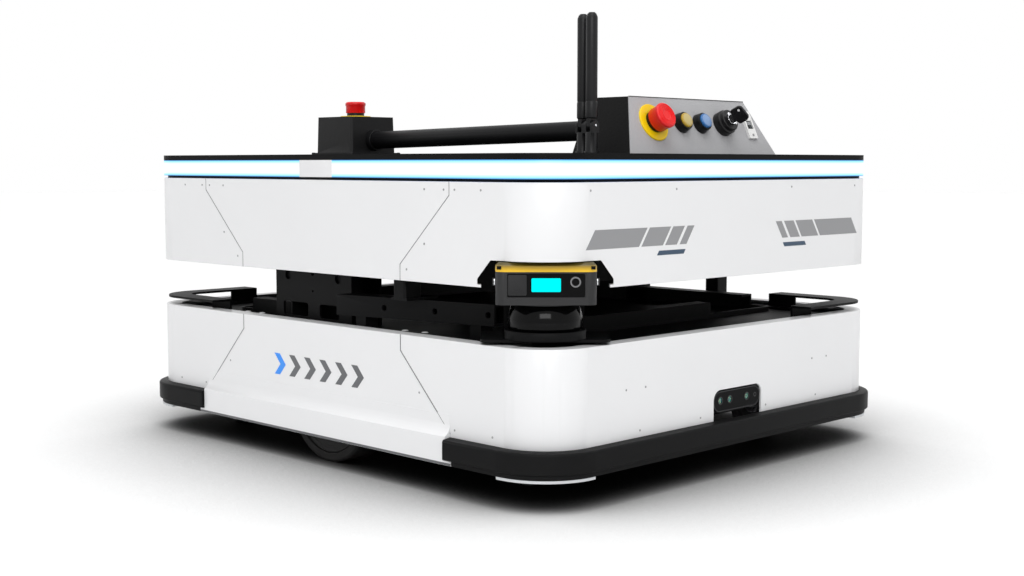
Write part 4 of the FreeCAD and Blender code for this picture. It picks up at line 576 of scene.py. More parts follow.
PAINT = Paint()


# --- Shapes -----------------------------------------------------------------------------------

def in_mm(points: Iterable[Sequence[float]]) -> list[tuple[float, ...]]:
    """Points given in millimetres, in metres."""
    return [tuple(value * MM for value in point) for point in points]


def turned(profile: Sequence[Point], steps: int = 64) -> Shape:
    """Spin a profile about +Z; one that begins and ends on the axis, or where it began, closes itself.

    Args:
        profile: (radius, height) points.
        steps: Faces round the circle.

    Returns:
        The turned shape.
    """
    shape = bmesh.new()
    verts = [shape.verts.new((radius, 0.0, height)) for radius, height in profile]
    edges = [shape.edges.new(pair) for pair in zip(verts, verts[1:])]
    bmesh.ops.spin(shape, geom=verts + edges, cent=(0, 0, 0), axis=(0, 0, 1), dvec=(0, 0, 0),
                   angle=FULL_TURN, steps=steps, use_merge=True, use_duplicate=False)
    bmesh.ops.remove_doubles(shape, verts=shape.verts[:], dist=MERGE_DISTANCE)
    bmesh.ops.recalc_face_normals(shape, faces=shape.faces[:])
    return shape


def prism(points: Sequence[Point], height: float) -> Shape:
    """Extrude a flat outline upwards.

    Args:
        points: (x, y) corners of the outline.
        height: How tall the prism is.

    Returns:
        The closed prism, from z 0 to height.
    """
    shape = bmesh.new()
    face = shape.faces.new([shape.verts.new((x, y, 0.0)) for x, y in points])
    grown = bmesh.ops.extrude_face_region(shape, geom=[face])
    tops = [item for item in grown["geom"] if isinstance(item, bmesh.types.BMVert)]
    bmesh.ops.translate(shape, verts=tops, vec=(0, 0, height))
    bmesh.ops.recalc_face_normals(shape, faces=shape.faces[:])
    return shape


def block(size: Spot, centre: Spot = (0.0, 0.0, 0.0)) -> Shape:
    """A box of a size about a centre.

    Args:
        size: Lengths along X, Y and Z.
        centre: The middle of the box.

    Returns:
        The box.
    """
    shape = bmesh.new()
    bmesh.ops.create_cube(shape, size=1.0)
    bmesh.ops.scale(shape, vec=size, verts=shape.verts[:])
    bmesh.ops.translate(shape, vec=centre, verts=shape.verts[:])
    return shape


def rounded(half_x: float, half_y: float, radius: float, steps: int = 6) -> list[Point]:
    """The outline of a rectangle with round corners.

    Args:
        half_x: Half its length.
        half_y: Half its width.
        radius: The corner radius.
        steps: Straight pieces in each corner.

    Returns:
        The outline's corners, counter-clockwise.
    """
    outline = []
    for quarter, (side_x, side_y) in enumerate(((1, 1), (-1, 1), (-1, -1), (1, -1))):
        for step in range(steps + 1):
            angle = (quarter + step / steps) * FULL_TURN / 4
            outline.append((side_x * (half_x - radius) + radius * math.cos(angle),
                            side_y * (half_y - radius) + radius * math.sin(angle)))
    return outline


def tile(half_x: float, half_y: float, radius: float, height: float) -> Shape:
    """A flat tile with round corners, all in millimetres."""
    return prism(rounded(half_x * MM, half_y * MM, radius * MM), height * MM)


def slanted(length: float, width: float, lean: float) -> list[Point]:
    """The outline of a stripe with slanting ends, centred on the origin.

    Args:
        length: Its length along X.
        width: Its width along Y.
        lean: How far the far side is shifted along X.

    Returns:
        Its four corners.
    """
    half, side, shift = length / 2, width / 2, lean / 2
    return [(-half - shift, -side), (half - shift, -side), (half + shift, side), (-half + shift, side)]


def softened(shape: Shape, width: float) -> Shape:
    """Bevel a shape's sharp edges.

    Args:
        shape: The shape to soften.
        width: The bevel's width.

    Returns:
        The same shape.
    """
    edges = [edge for edge in shape.edges
             if len(edge.link_faces) == 2 and edge.calc_face_angle(0.0) > SHARP_ANGLE]
    bmesh.ops.bevel(shape, geom=edges, offset=width, offset_type="OFFSET", segments=2, profile=0.5,
                    affect="EDGES", clamp_overlap=True, material=-1)
    return shape


def joined(shapes: Iterable[Shape]) -> Shape:
    """Put several shapes into one.

    Args:
        shapes: The shapes, which are used up.

    Returns:
        One shape that holds them all.
    """
    whole = bmesh.new()
    scratch = bpy.data.meshes.new("scratch")
    for shape in shapes:
        shape.to_mesh(scratch)
        shape.free()
        whole.from_mesh(scratch)
    bpy.data.meshes.remove(scratch)
    return whole


def moved(shape: Shape, place: Matrix) -> Shape:
    """Place a shape.

    Args:
        shape: The shape to move.
        place: Where it goes.

    Returns:
        The same shape.
    """
    bmesh.ops.transform(shape, matrix=place, verts=shape.verts[:])
    return shape


def copies(make: Callable[[], Shape], places: Iterable[Matrix]) -> Shape:
    """Make one shape at each of several places.

    Args:
        make: Builds the shape once.
        places: Where the copies go.

    Returns:
        All the copies in one shape.
    """
    return joined(moved(make(), place) for place in places)


def at(x: float, y: float, z: float) -> Matrix:
    """A place that is shifted and not turned."""
    return Matrix.Translation((x, y, z))


def facing(spot: Sequence[float], normal: Sequence[float], along: Sequence[float] = (0, 0, 1)) -> Matrix:
    """A place whose local +Z looks along normal and whose local +Y leans towards along.

    Args:
        spot: The origin of the place.
        normal: Where local +Z points.
        along: Roughly where local +Y points.

    Returns:
        The placement matrix.
    """
    out = Vector(normal).normalized()
    side = Vector(along).cross(out)
    side = side.normalized() if side.length > MERGE_DISTANCE else Vector((1, 0, 0))
    turn = Matrix((side, out.cross(side), out)).transposed().to_4x4()
    return Matrix.Translation(Vector(spot)) @ turn


HALF_TURN = Matrix.Rotation(math.pi, 4, "Z")


def both_ends(places: Sequence[Matrix]) -> list[Matrix]:
    """Places, and the same ones at the other end of the robot."""
    return [*places, *(HALF_TURN @ place for place in places)]


def doubled(shape: Shape) -> Shape:
    """A shape, and the same one at the other end of the robot."""
    return joined((shape, moved(shape.copy(), HALF_TURN)))


def ring_edges(shape: Shape, sides: int, radius: float, height: float) -> Edges:
    """Draw a closed ring of edges.

    Args:
        shape: The shape to draw in.
        sides: How many edges the ring has.
        radius: Its radius.
        height: Its height.

    Returns:
        The ring's edges.
    """
    made = bmesh.ops.create_circle(shape, cap_ends=False, radius=radius, segments=sides,
                                   matrix=at(0, 0, height))
    return list({edge for vert in made["verts"] for edge in vert.link_edges})


def outline_edges(shape: Shape, outline: Sequence[Point], height: float) -> Edges:
    """Draw a closed outline of edges.

    Args:
        shape: The shape to draw in.
        outline: (x, y) corners.
        height: Its height.

    Returns:
        The outline's edges.
    """
    verts = [shape.verts.new((x, y, height)) for x, y in outline]
    return [shape.edges.new(pair) for pair in zip(verts, verts[1:] + verts[:1])]


def bridged(shape: Shape, rings: Sequence[Edges]) -> Shape:
    """Put walls between rings of edges.

    Args:
        shape: The shape that holds the rings.
        rings: The rings, in order.

    Returns:
        The same shape.
    """
    for near, far in zip(rings, rings[1:]):
        bmesh.ops.bridge_loops(shape, edges=near + far)
    return shape


def socket_screw(radius: float, height: float, sides: int = 24) -> Shape:
    """A cap screw's head with its hexagon socket.

    Args:
        radius: The head's radius.
        height: The head's height.
        sides: Faces round the head.

    Returns:
        The closed head, standing on z 0.
    """
    chamfer, socket, floor = radius * 0.14, radius * 0.52, height * 0.45
    shape = bmesh.new()
    rings = [ring_edges(shape, *ring) for ring in ((sides, radius, 0.0), (sides, radius, height - chamfer),
                                                   (sides, radius - chamfer, height), (6, socket, height),
                                                   (6, socket, floor))]
    bridged(shape, rings)
    for end in (rings[0], rings[-1]):
        bmesh.ops.contextual_create(shape, geom=end)
    bmesh.ops.recalc_face_normals(shape, faces=shape.faces[:])
    return shape


def hex_nut(radius: float, height: float) -> Shape:
    """A plain hexagon nut with softened corners.

    Args:
        radius: The radius to its corners.
        height: Its height.

    Returns:
        The nut, standing on z 0.
    """
    angles = [step * FULL_TURN / 6 for step in range(6)]
    return softened(prism([(radius * math.cos(angle), radius * math.sin(angle)) for angle in angles], height),
                    radius * 0.06)


def ring_band(inner: float, outer: float, height: float, steps: int = 48) -> Shape:
    """A flat-topped ring between two radii, with a chamfered outer edge.

    Args:
        inner: The radius of its hole.
        outer: Its outer radius.
        height: Its height.
        steps: Faces round the ring.

    Returns:
        The ring, standing on z 0.
    """
    edge = min(height, outer - inner) * 0.25
    return turned([(inner, 0), (outer, 0), (outer, height - edge), (outer - edge, height), (inner, height),
                   (inner, 0)], steps)


def disc(radius: float, height: float, edge: float = 0.2 * MM, steps: int = 48) -> Shape:
    """A disc with a chamfered top edge.

    Args:
        radius: Its radius.
        height: Its height.
        edge: The chamfer's size.
        steps: Faces round the disc.

    Returns:
        The disc, standing on z 0.
    """
    return turned([(0, 0), (radius, 0), (radius, height - edge), (radius - edge, height), (0, height)], steps)


def piece(name: str, shape: Shape, finish: Finish, body: str = "base") -> bpy.types.Object:
    """Finish a shape as a piece of the robot.

    Args:
        name: The piece's name.
        shape: Its shape, already in place.
        finish: Its finish.
        body: The moving body it rides on.

    Returns:
        The new object.
    """
    mesh = bpy.data.meshes.new(name)
    shape.to_mesh(mesh)
    shape.free()
    mesh.shade_smooth()
    mesh.set_sharp_from_angle(angle=SHARP_ANGLE)
    mesh.materials.append(PAINT.of(finish))
    made = bpy.data.objects.new(name, mesh)
    bpy.context.scene.collection.objects.link(made)
    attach(made, body)
    LOG.info("%s: %d faces on %s", name, len(mesh.polygons), body)
    return made


def slot_piece(name: str, shape: Shape, slot: Slot, body: str = "base") -> bpy.types.Object:
    """Finish a shape as a piece with the usual finish of its slot."""
    return piece(name, shape, FINISHES[slot], body)


# --- Places read from the construction model --------------------------------------------------

@dataclass
class Places:
    """Where things are, read from the construction model."""

    corner_radius: float = 0.061
    half_length: float = field(init=False)
    half_width: float = field(init=False)
    plate_top: float = field(init=False)
    panel_normal: Vector = field(init=False)

    def __post_init__(self) -> None:
        """Read the plate's box and the console's slope."""
        self.half_length, self.half_width, self.plate_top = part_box("top_plate")[1]
        self.panel_normal = -Vector(self.joints("stop_front_press")[0]["axis"])

    def joints(self, start: str) -> list[dict]:
        """The joints whose names start with a word."""
        return [joint for joint in frame["joints"] if joint["name"].startswith(start)]

    def middle(self, node: str) -> Vector:
        """The middle of a node's box."""
        low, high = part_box(node)
        return (low + high) / 2

    def on_panel(self, node: str) -> Matrix:
        """The panel-square place at the foot of a round control.

        Args:
            node: A node that is round about the panel's normal.

        Returns:
            A place on the panel's face, local +Z straight out and +Y across the robot.
        """
        spot = self.middle(node)
        on_edge = Vector((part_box("console_panel")[1].x, spot.y, self.plate_top))
        depth = (spot - on_edge).dot(self.panel_normal)
        return facing(spot - self.panel_normal * depth, self.panel_normal, (0, 1, 0))

    def scanner(self, end: int) -> Matrix:
        """The scanner's own frame at one end, with local +X out through the corner.

        Args:
            end: 1 in front, -1 behind.

        Returns:
            The placement matrix.
        """
        x = end * (self.half_length - self.corner_radius)
        y = -end * (self.half_width - self.corner_radius)
        angle = math.radians(-45 if end > 0 else 135)
        return at(x, y, 0) @ Matrix.Rotation(angle, 4, "Z")


PLACES = Places()


# --- Setting ----------------------------------------------------------------------------------

@dataclass(frozen=True)
class Studio:
    """A white room: pale floor with painted shadow, overhead glow, soft sun, one soft panel and the camera.
    """

    camera_spot: Spot = (1.34443, -1.33269, 0.35619)
    camera_turn: Spot = (math.radians(90 - 5.008), 0.0, math.radians(45))
    focal_length: float = 50.0    # mm
    sensor_width: float = 36.0    # mm
    overhead: float = 0.98
    sun_strength: float = 1.30
    sun_width: float = math.radians(60)
    sun_spot: Spot = (0.6, -0.6, 2.4)
    panel_spot: Spot = (2.0, -2.0, 1.25)
    panel_target: Spot = (0.3, -0.3, 0.2)
    panel_wide: float = 1.5
    panel_tall: float = 0.6
    panel_power: float = 19.0
    floor_size: float = 30.0
    # The floor's colour carries painted shadow near the robot.
    floor: Finish = ShadedFloor("pale_floor_painted_shadow", (0.97, 0.97, 0.97), 0.9, specular=0.05, mottle=0.004,
                                mottle_scale=0.7)

    def build(self) -> None:
        """Set up the room, its lights and the camera."""
        scene = bpy.context.scene
        scene.view_settings.view_transform = "Standard"
        scene.world = self._world()
        self._lights()
        self._floor()
        scene.camera = self._camera()

    def _world(self) -> bpy.types.World:
        """Light the room from overhead, and show it plain white wherever it is seen or mirrored.

        Returns:
            The new world.
        """
        world = bpy.data.worlds.new("white_room")
        world.use_nodes = True
        wires = Wiring(world.node_tree)
        paths = wires.add("LightPath").outputs
        seen = paths["Is Camera Ray"]
        for other in ("Is Glossy Ray", "Is Transmission Ray"):
            seen = wires.math("MAXIMUM", seen, paths[other])
        towards = wires.add("SeparateXYZ", {"Vector": wires.add("TexCoord").outputs["Generated"]})
        glow = wires.add("MapRange", {"Value": towards.outputs["Z"], "To Max": self.overhead})
        strength = wires.add("Mix", {"Factor": seen, "A": glow.outputs["Result"], "B": 1.0})
        wires.feed(wires.tree.nodes["Background"], {"Color": WHITE, "Strength": strength.outputs["Result"]})
        return world

    def _lights(self) -> None:
        """Hang the soft sun and the panel that shows as a highlight."""
        sun = bpy.data.lights.new("soft_sun", "SUN")
        sun.energy = self.sun_strength
        sun.angle = self.sun_width
        self._hang(sun, self.sun_spot, (0, 0, 0))
        panel = bpy.data.lights.new("soft_panel", "AREA")
        panel.shape = "RECTANGLE"
        panel.size = self.panel_wide
        panel.size_y = self.panel_tall
        panel.energy = self.panel_power
        self._hang(panel, self.panel_spot, self.panel_target)

    def _hang(self, light: bpy.types.Light, spot: Spot, target: Spot) -> None:
        """Place a light so that it shines at a target.

        Args:
            light: The light.
            spot: Where it hangs.
            target: What it shines at.
        """
        lamp = bpy.data.objects.new(light.name, light)
        bpy.context.scene.collection.objects.link(lamp)
        lamp.location = spot
        lamp.rotation_euler = (Vector(target) - Vector(spot)).to_track_quat("-Z", "Y").to_euler()

    def _floor(self) -> None:
        """Lay the floor."""
        shape = bmesh.new()
        bmesh.ops.create_grid(shape, x_segments=1, y_segments=1, size=self.floor_size / 2)
        mesh = bpy.data.meshes.new("floor")
        shape.to_mesh(mesh)
        shape.free()
        mesh.materials.append(PAINT.of(self.floor))
        floor = bpy.data.objects.new("floor", mesh)
        bpy.context.scene.collection.objects.link(floor)

    def _camera(self) -> bpy.types.Object:
        """Set the camera in front of the right-hand corner.

        Returns:
            The camera.
        """
        lens = bpy.data.cameras.new("camera")
        lens.lens = self.focal_length
        lens.sensor_width = self.sensor_width
        eye = bpy.data.objects.new("camera", lens)
        bpy.context.scene.collection.objects.link(eye)
        eye.location = self.camera_spot
        eye.rotation_euler = self.camera_turn
        return eye


# --- The construction model -------------------------------------------------------------------

@dataclass(frozen=True)
class CadDress:
    """Finishes every node of the construction model and rounds its edges, by widths in millimetres."""

    widths: Mapping[Slot, float] = field(default_factory=lambda: {
        Slot.COVER: 0.7, Slot.RUBBER: 1.6, Slot.RAIL: 0.6, Slot.PLATE: 0.5, Slot.STEEL: 0.4,
        Slot.CONSOLE: 0.8, Slot.PANEL: 0.3, Slot.BOX: 0.8, Slot.TYRE: 1.0, Slot.SCANNER: 0.8,
        Slot.YELLOW: 0.3})
    usual_width: float = 0.25
    # How far below the caps' top the painted shade begins, and where it is full.
    cap_slope: float = 8.5 * MM
    cap_brim: float = 2.0 * MM

    def build(self) -> None:
        """Dress all the nodes."""
        slots = {part["node"]: Slot(part["material_slot"]) for part in frame["record"]["subparts"]}
        for name, node in frame["nodes"].items():
            slot = slots[name]
            node.data.materials.clear()
            node.data.materials.append(PAINT.of(self._finish(slot)))
            node.data.polygons.foreach_set("material_index", [0] * len(node.data.polygons))
            self._soften(node, self.widths.get(slot, self.usual_width) * MM)
            LOG.info("%s: dressed as %s", name, slot.value)

    def _finish(self, slot: Slot) -> Finish:
        """The finish of a slot; those of the light guide and the scanner caps follow their own heights, and
        the caps get painted shade up their slope.

        Args:
            slot: The slot.

        Returns:
            Its finish.
        """
        base = FINISHES[slot]
        if slot is Slot.LIGHT:
            low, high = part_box("light_band")
            return LitGuide(base.name, base.colour, base.roughness, bottom=low.z, top=high.z)
        if slot is Slot.YELLOW:
            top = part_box("scanner_caps")[1].z
            return CapShadeCoat(base.name, base.colour, base.roughness, level=top - self.cap_slope,
                              top=top - self.cap_brim)
        return base

    def _soften(self, node: bpy.types.Object, width: float) -> None:
        """Weld a node's triangles and round its sharp edges.

        Args:
            node: The node.
            width: How wide its edges are rounded.
        """
        node.modifiers.new("weld", "WELD").merge_threshold = WELD_DISTANCE
        bevel = node.modifiers.new("edges", "BEVEL")
        bevel.width = width
        bevel.segments = 2
        bevel.limit_method = "ANGLE"
        bevel.angle_limit = SHARP_ANGLE
        bevel.harden_normals = True


# --- Groups of fine parts ---------------------------------------------------------------------

@dataclass(frozen=True)
class Seam:
    """A seam between two covers: upright, slanting and upright again, in millimetres."""

    low: float
    kink_low: float
    kink_high: float
    high: float
    foot: float
    head: float
    thick: float

    def path(self, side: int) -> list[Point]:
        """Its (along, up) points on one side of the middle."""
        return [(side * self.foot, self.low), (side * self.foot, self.kink_low),
                (side * self.head, self.kink_high), (side * self.head, self.high)]


@dataclass(frozen=True)
class Covers:
    """Screws, stripes, painted seam shade, a painted shade strip at the sill foot, marks and plugs of the
    white covers; places are in millimetres.
    """

    side_screws: tuple[Point, ...] = ((192, 328.5), (223, 328.5), (240, 328.5), (280, 328.5), (191.5, 269.5),
                                      (162, 240.4), (182, 106), (212, 77), (239, 71.7), (297, 72))
    end_screws: tuple[Point, ...] = ((192, 116.7), (160, 116.7), (169, 70.6), (63, 70.6), (110, 328.5),
                                     (250, 328.5))
    screw_radius: float = 1.25 * MM
    screw_height: float = 0.35 * MM
    film_thick: float = 0.15 * MM
    chevron_half: float = 13 * MM
    chevron_lean: float = 12 * MM
    chevron_thick: float = 11 * MM
    chevron_count: int = 6
    chevron_pitch: float = 30.0
    chevron_shift: float = -11.5
    chevron_level: float = 112.0
    slashes: tuple[Point, ...] = ((-208, 84), (-144, 36), (-112, 20), (-91, 12))
    slash_wide: float = 20
    slash_lean: float = 14
    slash_level: float = 278.0
    line: Spot = (46, 5, 3.5)
    line_spot: Point = (-118, 260)
    seams: tuple[Seam, ...] = (Seam(227.7, 245.6, 322.5, 336.8, 151.0, 231.4, 0.2),
                               Seam(67.0, 67.9, 149.7, 167.4, 231.4, 151.0, 0.9))
    # the width of the painted seam shade strips, in mm
    seam_shade_width: float = 0.7
    # Sizes of the painted shade strip along the sill foot.
    foot_shade_thick: float = 0.5 * MM
    foot_shade_high: float = 2.6 * MM
    foot_shade_middle: float = 1.5 * MM
    foot_shade_edge: float = 0.1 * MM
    mark: Tile = (5, 1.2, 1.19, 0.25)
    marks: tuple[float, ...] = (-222, -74, 0, 75, 222)
    mark_level: float = 66.6
    mark_out: float = 4.2
    sill_slope: Spot = (0, -4, 7.6)
    plug: tuple[Point, ...] = ((0, 0), (4, 0), (3.4, 0.6), (2.0, 0.9), (0, 1.0))
    plugs: tuple[Point, ...] = ((-172, -293), (-144, -291), (127.5, -287), (158, -284))
    plug_level: float = 167.7

    def build(self) -> None:
        """Make all the cover parts."""
        self._screws()
        self._side_stripes()
        self._end_stripes()
        self._foot_shade_strip()
        self._seam_shade()
        self._marks()
        self._plugs()

    def _side(self, x: float, z: float) -> Matrix:
        """A place on the right-hand face, in millimetres."""
        return facing((x * MM, -PLACES.half_width, z * MM), (0, -1, 0))

    def _end(self, y: float, z: float) -> Matrix:
        """A place on the front face, in millimetres."""
        return facing((PLACES.half_length, y * MM, z * MM), (1, 0, 0))

    def _screws(self) -> None:
        """The small flush screws, on all four faces."""
        places = [self._side(sign * x, z) for x, z in self.side_screws for sign in ENDS]
        places += [self._end(sign * y, z) for y, z in self.end_screws for sign in ENDS]
        screws = copies(lambda: socket_screw(self.screw_radius, self.screw_height, sides=16),
                        both_ends(places))
        piece("cover_screws", screws, SCREW_GREY)

    def _chevron(self) -> Shape:
        """One arrow-shaped stripe.

        Returns:
            The stripe, pointing along +X.
        """
        tall, lean, thick = self.chevron_half, self.chevron_lean, self.chevron_thick
        return prism([(0, -tall), (thick, -tall), (thick + lean, 0), (thick, tall), (0, tall), (lean, 0)],
                     self.film_thick)

    def _side_stripes(self) -> None:
        """A row of chevrons on the lower side panels, the first one blue."""
        first = -(self.chevron_count - 1) / 2
        places = [self._side((first + step) * self.chevron_pitch + self.chevron_shift, self.chevron_level)
                  for step in range(self.chevron_count)]
        for name, chosen, finish, slot in (("side_chevrons_blue", places[:1], STRIPE_BLUE, Slot.BLUE_CAP),
                                           ("side_chevrons_grey", places[1:], SLATE_FILM_AND_SHADE, Slot.PANEL)):
            piece(name, copies(self._chevron, both_ends(chosen)), finish)

    def _stripe(self, sign: int, outline: Spot, spot: Point) -> Shape:
        """One slanting stripe on the front face.

        Args:
            sign: The side of the middle, which turns its slant too.
            outline: Its length, width and lean in millimetres.
            spot: Its place across and up in millimetres.

        Returns:
            The stripe.
        """
        length, width, lean = outline
        flat = slanted(length * MM, width * MM, lean * MM * sign)
        return moved(prism(flat, self.film_thick), self._end(sign * spot[0], spot[1]))

    def _end_stripes(self) -> None:
        """Shrinking slashes on the upper end covers, mirrored about the middle, over a thin navy line."""
        bars = [self._stripe(sign, (length, self.slash_wide, self.slash_lean), (centre, self.slash_level))
                for sign in ENDS for centre, length in self.slashes]
        lines = [self._stripe(sign, self.line, self.line_spot) for sign in ENDS]
        piece("end_slashes_grey", doubled(joined(bars)), STRIPE_GREY)
        piece("end_lines_navy", doubled(joined(lines)), STRIPE_NAVY)

    def _foot_shade_strip(self) -> None:
        """A slate strip along the foot of both side sills, painted shade where the sill's underside faces
        down.
        """
        low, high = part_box("lower_cover_right")
        strip = block((high.x - low.x, self.foot_shade_thick, self.foot_shade_high),
                      ((low.x + high.x) / 2, low.y, low.z + self.foot_shade_middle))
        piece("sill_foot_shade", doubled(softened(strip, self.foot_shade_edge)), SLATE_FILM_AND_SHADE)

    def _seam_shade(self) -> None:
        """Grey strips of painted shade in the slanting seams between the side and the end covers."""
        bars = []
        for seam in self.seams:
            for side in ENDS:
                path = seam.path(side)
                for (x0, z0), (x1, z1) in zip(path, path[1:]):
                    run = math.hypot(x1 - x0, z1 - z0) + self.seam_shade_width
                    place = facing(((x0 + x1) / 2 * MM, -PLACES.half_width, (z0 + z1) / 2 * MM), (0, -1, 0),
                                   (x1 - x0, 0, z1 - z0))
                    bars.append(moved(block((self.seam_shade_width * MM, run * MM, seam.thick * MM)), place))
        piece("cover_seam_shade", doubled(joined(bars)), SEAM_SHADE_GREY)

    def _marks(self) -> None:
        """Oval marks along the sills."""
        level, out = self.mark_level * MM, PLACES.half_width + self.mark_out * MM
        places = [facing((x * MM, -out, level), self.sill_slope) for x in self.marks]
        piece("sill_marks", copies(lambda: tile(*self.mark), both_ends(places)), STRIPE_GREY)

    def _plugs(self) -> None:
        """Domed plugs on the lower covers' top flange."""
        places = [at(x * MM, y * MM, self.plug_level * MM) for x, y in self.plugs]
        plugs = copies(lambda: turned(in_mm(self.plug), steps=24), both_ends(places))
        slot_piece("flange_plugs", plugs, Slot.COVER)


@dataclass(frozen=True)
class Scanners:
    """Panels, display, studs and notches of the two laser scanners, in millimetres."""

    face: float = 48.5
    half_width: float = 52
    proud: float = 0.25
    panel: Tile = (39.6, 12, 1.5, 0.25)
    panel_spot: Point = (0, 232.3)
    flap: Tile = (9.6, 10.6, 1.6, 0.8)
    flap_edge: float = 0.25 * MM
    flap_spot: Point = (-29.5, 232.5)
    ridge: Tile = (6, 0.7, 0.6, 0.5)
    ridge_edge: float = 0.12 * MM
    ridge_down: float = 7
    display: Tile = (15, 7, 1.2, 0.2)
    display_spot: Point = (0, 232.6)
    button: Spot = (4.0 * MM, 5.5 * MM, 0.35 * MM)
    button_spot: Point = (30, 235.7)
    stud: Tile = (2, 3.6, 1.9, 1.6)
    stud_edge: float = 0.4 * MM
    stud_spot: Point = (38, 235)
    notch: Tile = (2.2, 1.7, 0.3, 0.15)
    notch_spot: Spot = (50, 48, 250.4)

    def build(self) -> None:
        """Make the fine parts at both ends."""
        front = self.face + self.proud
        for name, make, spot, finish, slot in (
                ("scanner_panels", lambda: tile(*self.panel), (self.face, *self.panel_spot), PANEL_GLOSS,
                 Slot.WINDOW),
                ("scanner_flaps", self._flap, (front, *self.flap_spot), FLAP_GREY, Slot.SCANNER),
                ("scanner_displays", lambda: tile(*self.display), (front, *self.display_spot), DISPLAY,
                 Slot.BLUE_CAP),
                ("scanner_buttons", lambda: ring_band(*self.button), (front, *self.button_spot), RING_GREY,
                 Slot.SCANNER)):
            places = [PLACES.scanner(end) @ facing(in_mm([spot])[0], (1, 0, 0)) for end in ENDS]
            piece(name, copies(make, places), finish)
        self._studs()
        self._notches()

    def _flap(self) -> Shape:
        """The rubber flap over the service socket, with its pull ridge.

        Returns:
            The flap, standing on z 0.
        """
        ridge = softened(tile(*self.ridge), self.ridge_edge)
        return joined((softened(tile(*self.flap), self.flap_edge),
                       moved(ridge, at(0, -self.ridge_down * MM, self.flap[3] * MM))))

    def _studs(self) -> None:
        """The oval silver studs on the scanners' flanks."""
        out, up = self.stud_spot
        places = [PLACES.scanner(end) @ facing((out * MM, side * self.half_width * MM, up * MM), (0, side, 0))
                  for end in ENDS for side in ENDS]
        studs = copies(lambda: softened(tile(*self.stud), self.stud_edge), places)
        piece("scanner_studs", studs, CORE_STEEL)

    def _notches(self) -> None:
        """The paired notches at the ends of the yellow cap, as dark inlays."""
        out, across, up = self.notch_spot
        places = [PLACES.scanner(end) @ facing((out * MM, side * across * MM, up * MM), (1, 0, 0))
                  for end in ENDS for side in ENDS]
        slot_piece("scanner_cap_notches", copies(lambda: tile(*self.notch), places), Slot.WINDOW)


@dataclass(frozen=True)
class DepthCamera:
    """The stereo camera's glass front and its four eyes, in millimetres."""

    # the flag marks the eyes whose lenses get the painted glints
    eyes: tuple[tuple[float, float, bool], ...] = ((-31.5, 4.5, True), (-13.5, 4.5, True), (19.5, 4.5, True),
                                                   (35.5, 2.5, False))
    eye_up: float = 1
    eye_deep: float = 0.2
    ring_inside: float = 0.9
    ring_outside: float = 0.2
    ring_high: float = 0.5
    lens_wall: tuple[Point, ...] = ((0.9, -1.2), (0.9, -0.6), (2.0, -0.1))    # in from the eye's edge, up
    lens_foot: float = -1.2
    lens_top: float = 0.2
    rim_inset: float = 0.8
    rim_wide: float = 0.9
    rim_high: float = 0.3
    rim_flat: float = 0.1

    def build(self) -> None:
        """Make the rim, the rings and the lenses."""
        low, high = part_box("depth_camera")
        half, centre = (high - low) / 2, (low + high) / 2
        face = facing((high.x, centre.y, centre.z), (1, 0, 0))
        rim = self._rim(half.y - self.rim_inset * MM, half.z - self.rim_inset * MM)
        piece("camera_rim", moved(rim, face), FINISHES[Slot.CASE])
        rings = []
        lenses = {True: [], False: []}
        for across, radius, coated in self.eyes:
            place = face @ at(across * MM, self.eye_up * MM, -self.eye_deep * MM)
            ring = ring_band((radius - self.ring_inside) * MM, (radius + self.ring_outside) * MM,
                             self.ring_high * MM, steps=32)
            rings.append(moved(ring, place))
            wall = [(radius - inset, up) for inset, up in self.lens_wall]
            lens = turned(in_mm([(0, self.lens_foot), *wall, (0, self.lens_top)]), steps=32)
            lenses[coated].append(moved(lens, place))
        piece("camera_rings", joined(rings), FINISHES[Slot.CASE])
        piece("camera_lenses", joined(lenses[True]), LENS_TEAL_GLINTS)
        piece("camera_projector", joined(lenses[False]), LENS_DARK)

    def _rim(self, half_wide: float, half_high: float) -> Shape:
        """The thin pale outline round the front glass.

        Args:
            half_wide: Half its width.
            half_high: Half its height.

        Returns:
            The rim, standing on z 0.
        """
        shape = bmesh.new()
        wide, high = self.rim_wide * MM, self.rim_high * MM
        rings = []
        for shrink, level in ((0.0, 0.0), (0.0, high), (wide, high), (wide, 0.0)):
            half_x, half_y = half_wide - shrink, half_high - shrink
            outline = rounded(half_x, half_y, half_y - self.rim_flat * MM, steps=10)
            rings.append(outline_edges(shape, outline, level))
        bridged(shape, [*rings, rings[0]])
        bmesh.ops.recalc_face_normals(shape, faces=shape.faces[:])
        return shape


@dataclass(frozen=True)
class InnerFrame:
    """Dark plugs in the towers' holes and the shroud behind the camera window."""

    tower_holes: tuple[Spot, ...] = ((-5.5, 218, 6.6), (-105.5, 218, 6.6), (-55.5, 222, 3.6),
                                     (-55.5, 200, 2.1))    # along, up, radius in mm
    plug_deep: float = 4.0    # mm
    plug_thick: float = 0.8 * MM
    shroud_thick: float = 1.6 * MM
    shroud_beyond: float = 18 * MM
    shroud_high: float = 40 * MM
    shroud_back: float = 4 * MM
    shroud_level: float = 82 * MM
    shroud_edge: float = 0.3 * MM

    def build(self) -> None:
        """Make the plugs and the shroud."""
        face = abs(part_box("tower_right")[0].y) - self.plug_deep * MM
        plugs = [moved(disc(radius * MM, self.plug_thick, steps=32),
                       facing((x * MM, sign * face, z * MM), (0, sign, 0)))
                 for sign in ENDS for x, z, radius in self.tower_holes]
        slot_piece("tower_plugs", joined(plugs), Slot.RAIL)
        low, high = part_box("depth_camera")
        shroud = block((self.shroud_thick, high.y - low.y + self.shroud_beyond, self.shroud_high),
                       (low.x - self.shroud_back, (low.y + high.y) / 2, self.shroud_level))
        slot_piece("camera_shroud", softened(shroud, self.shroud_edge), Slot.STEEL)


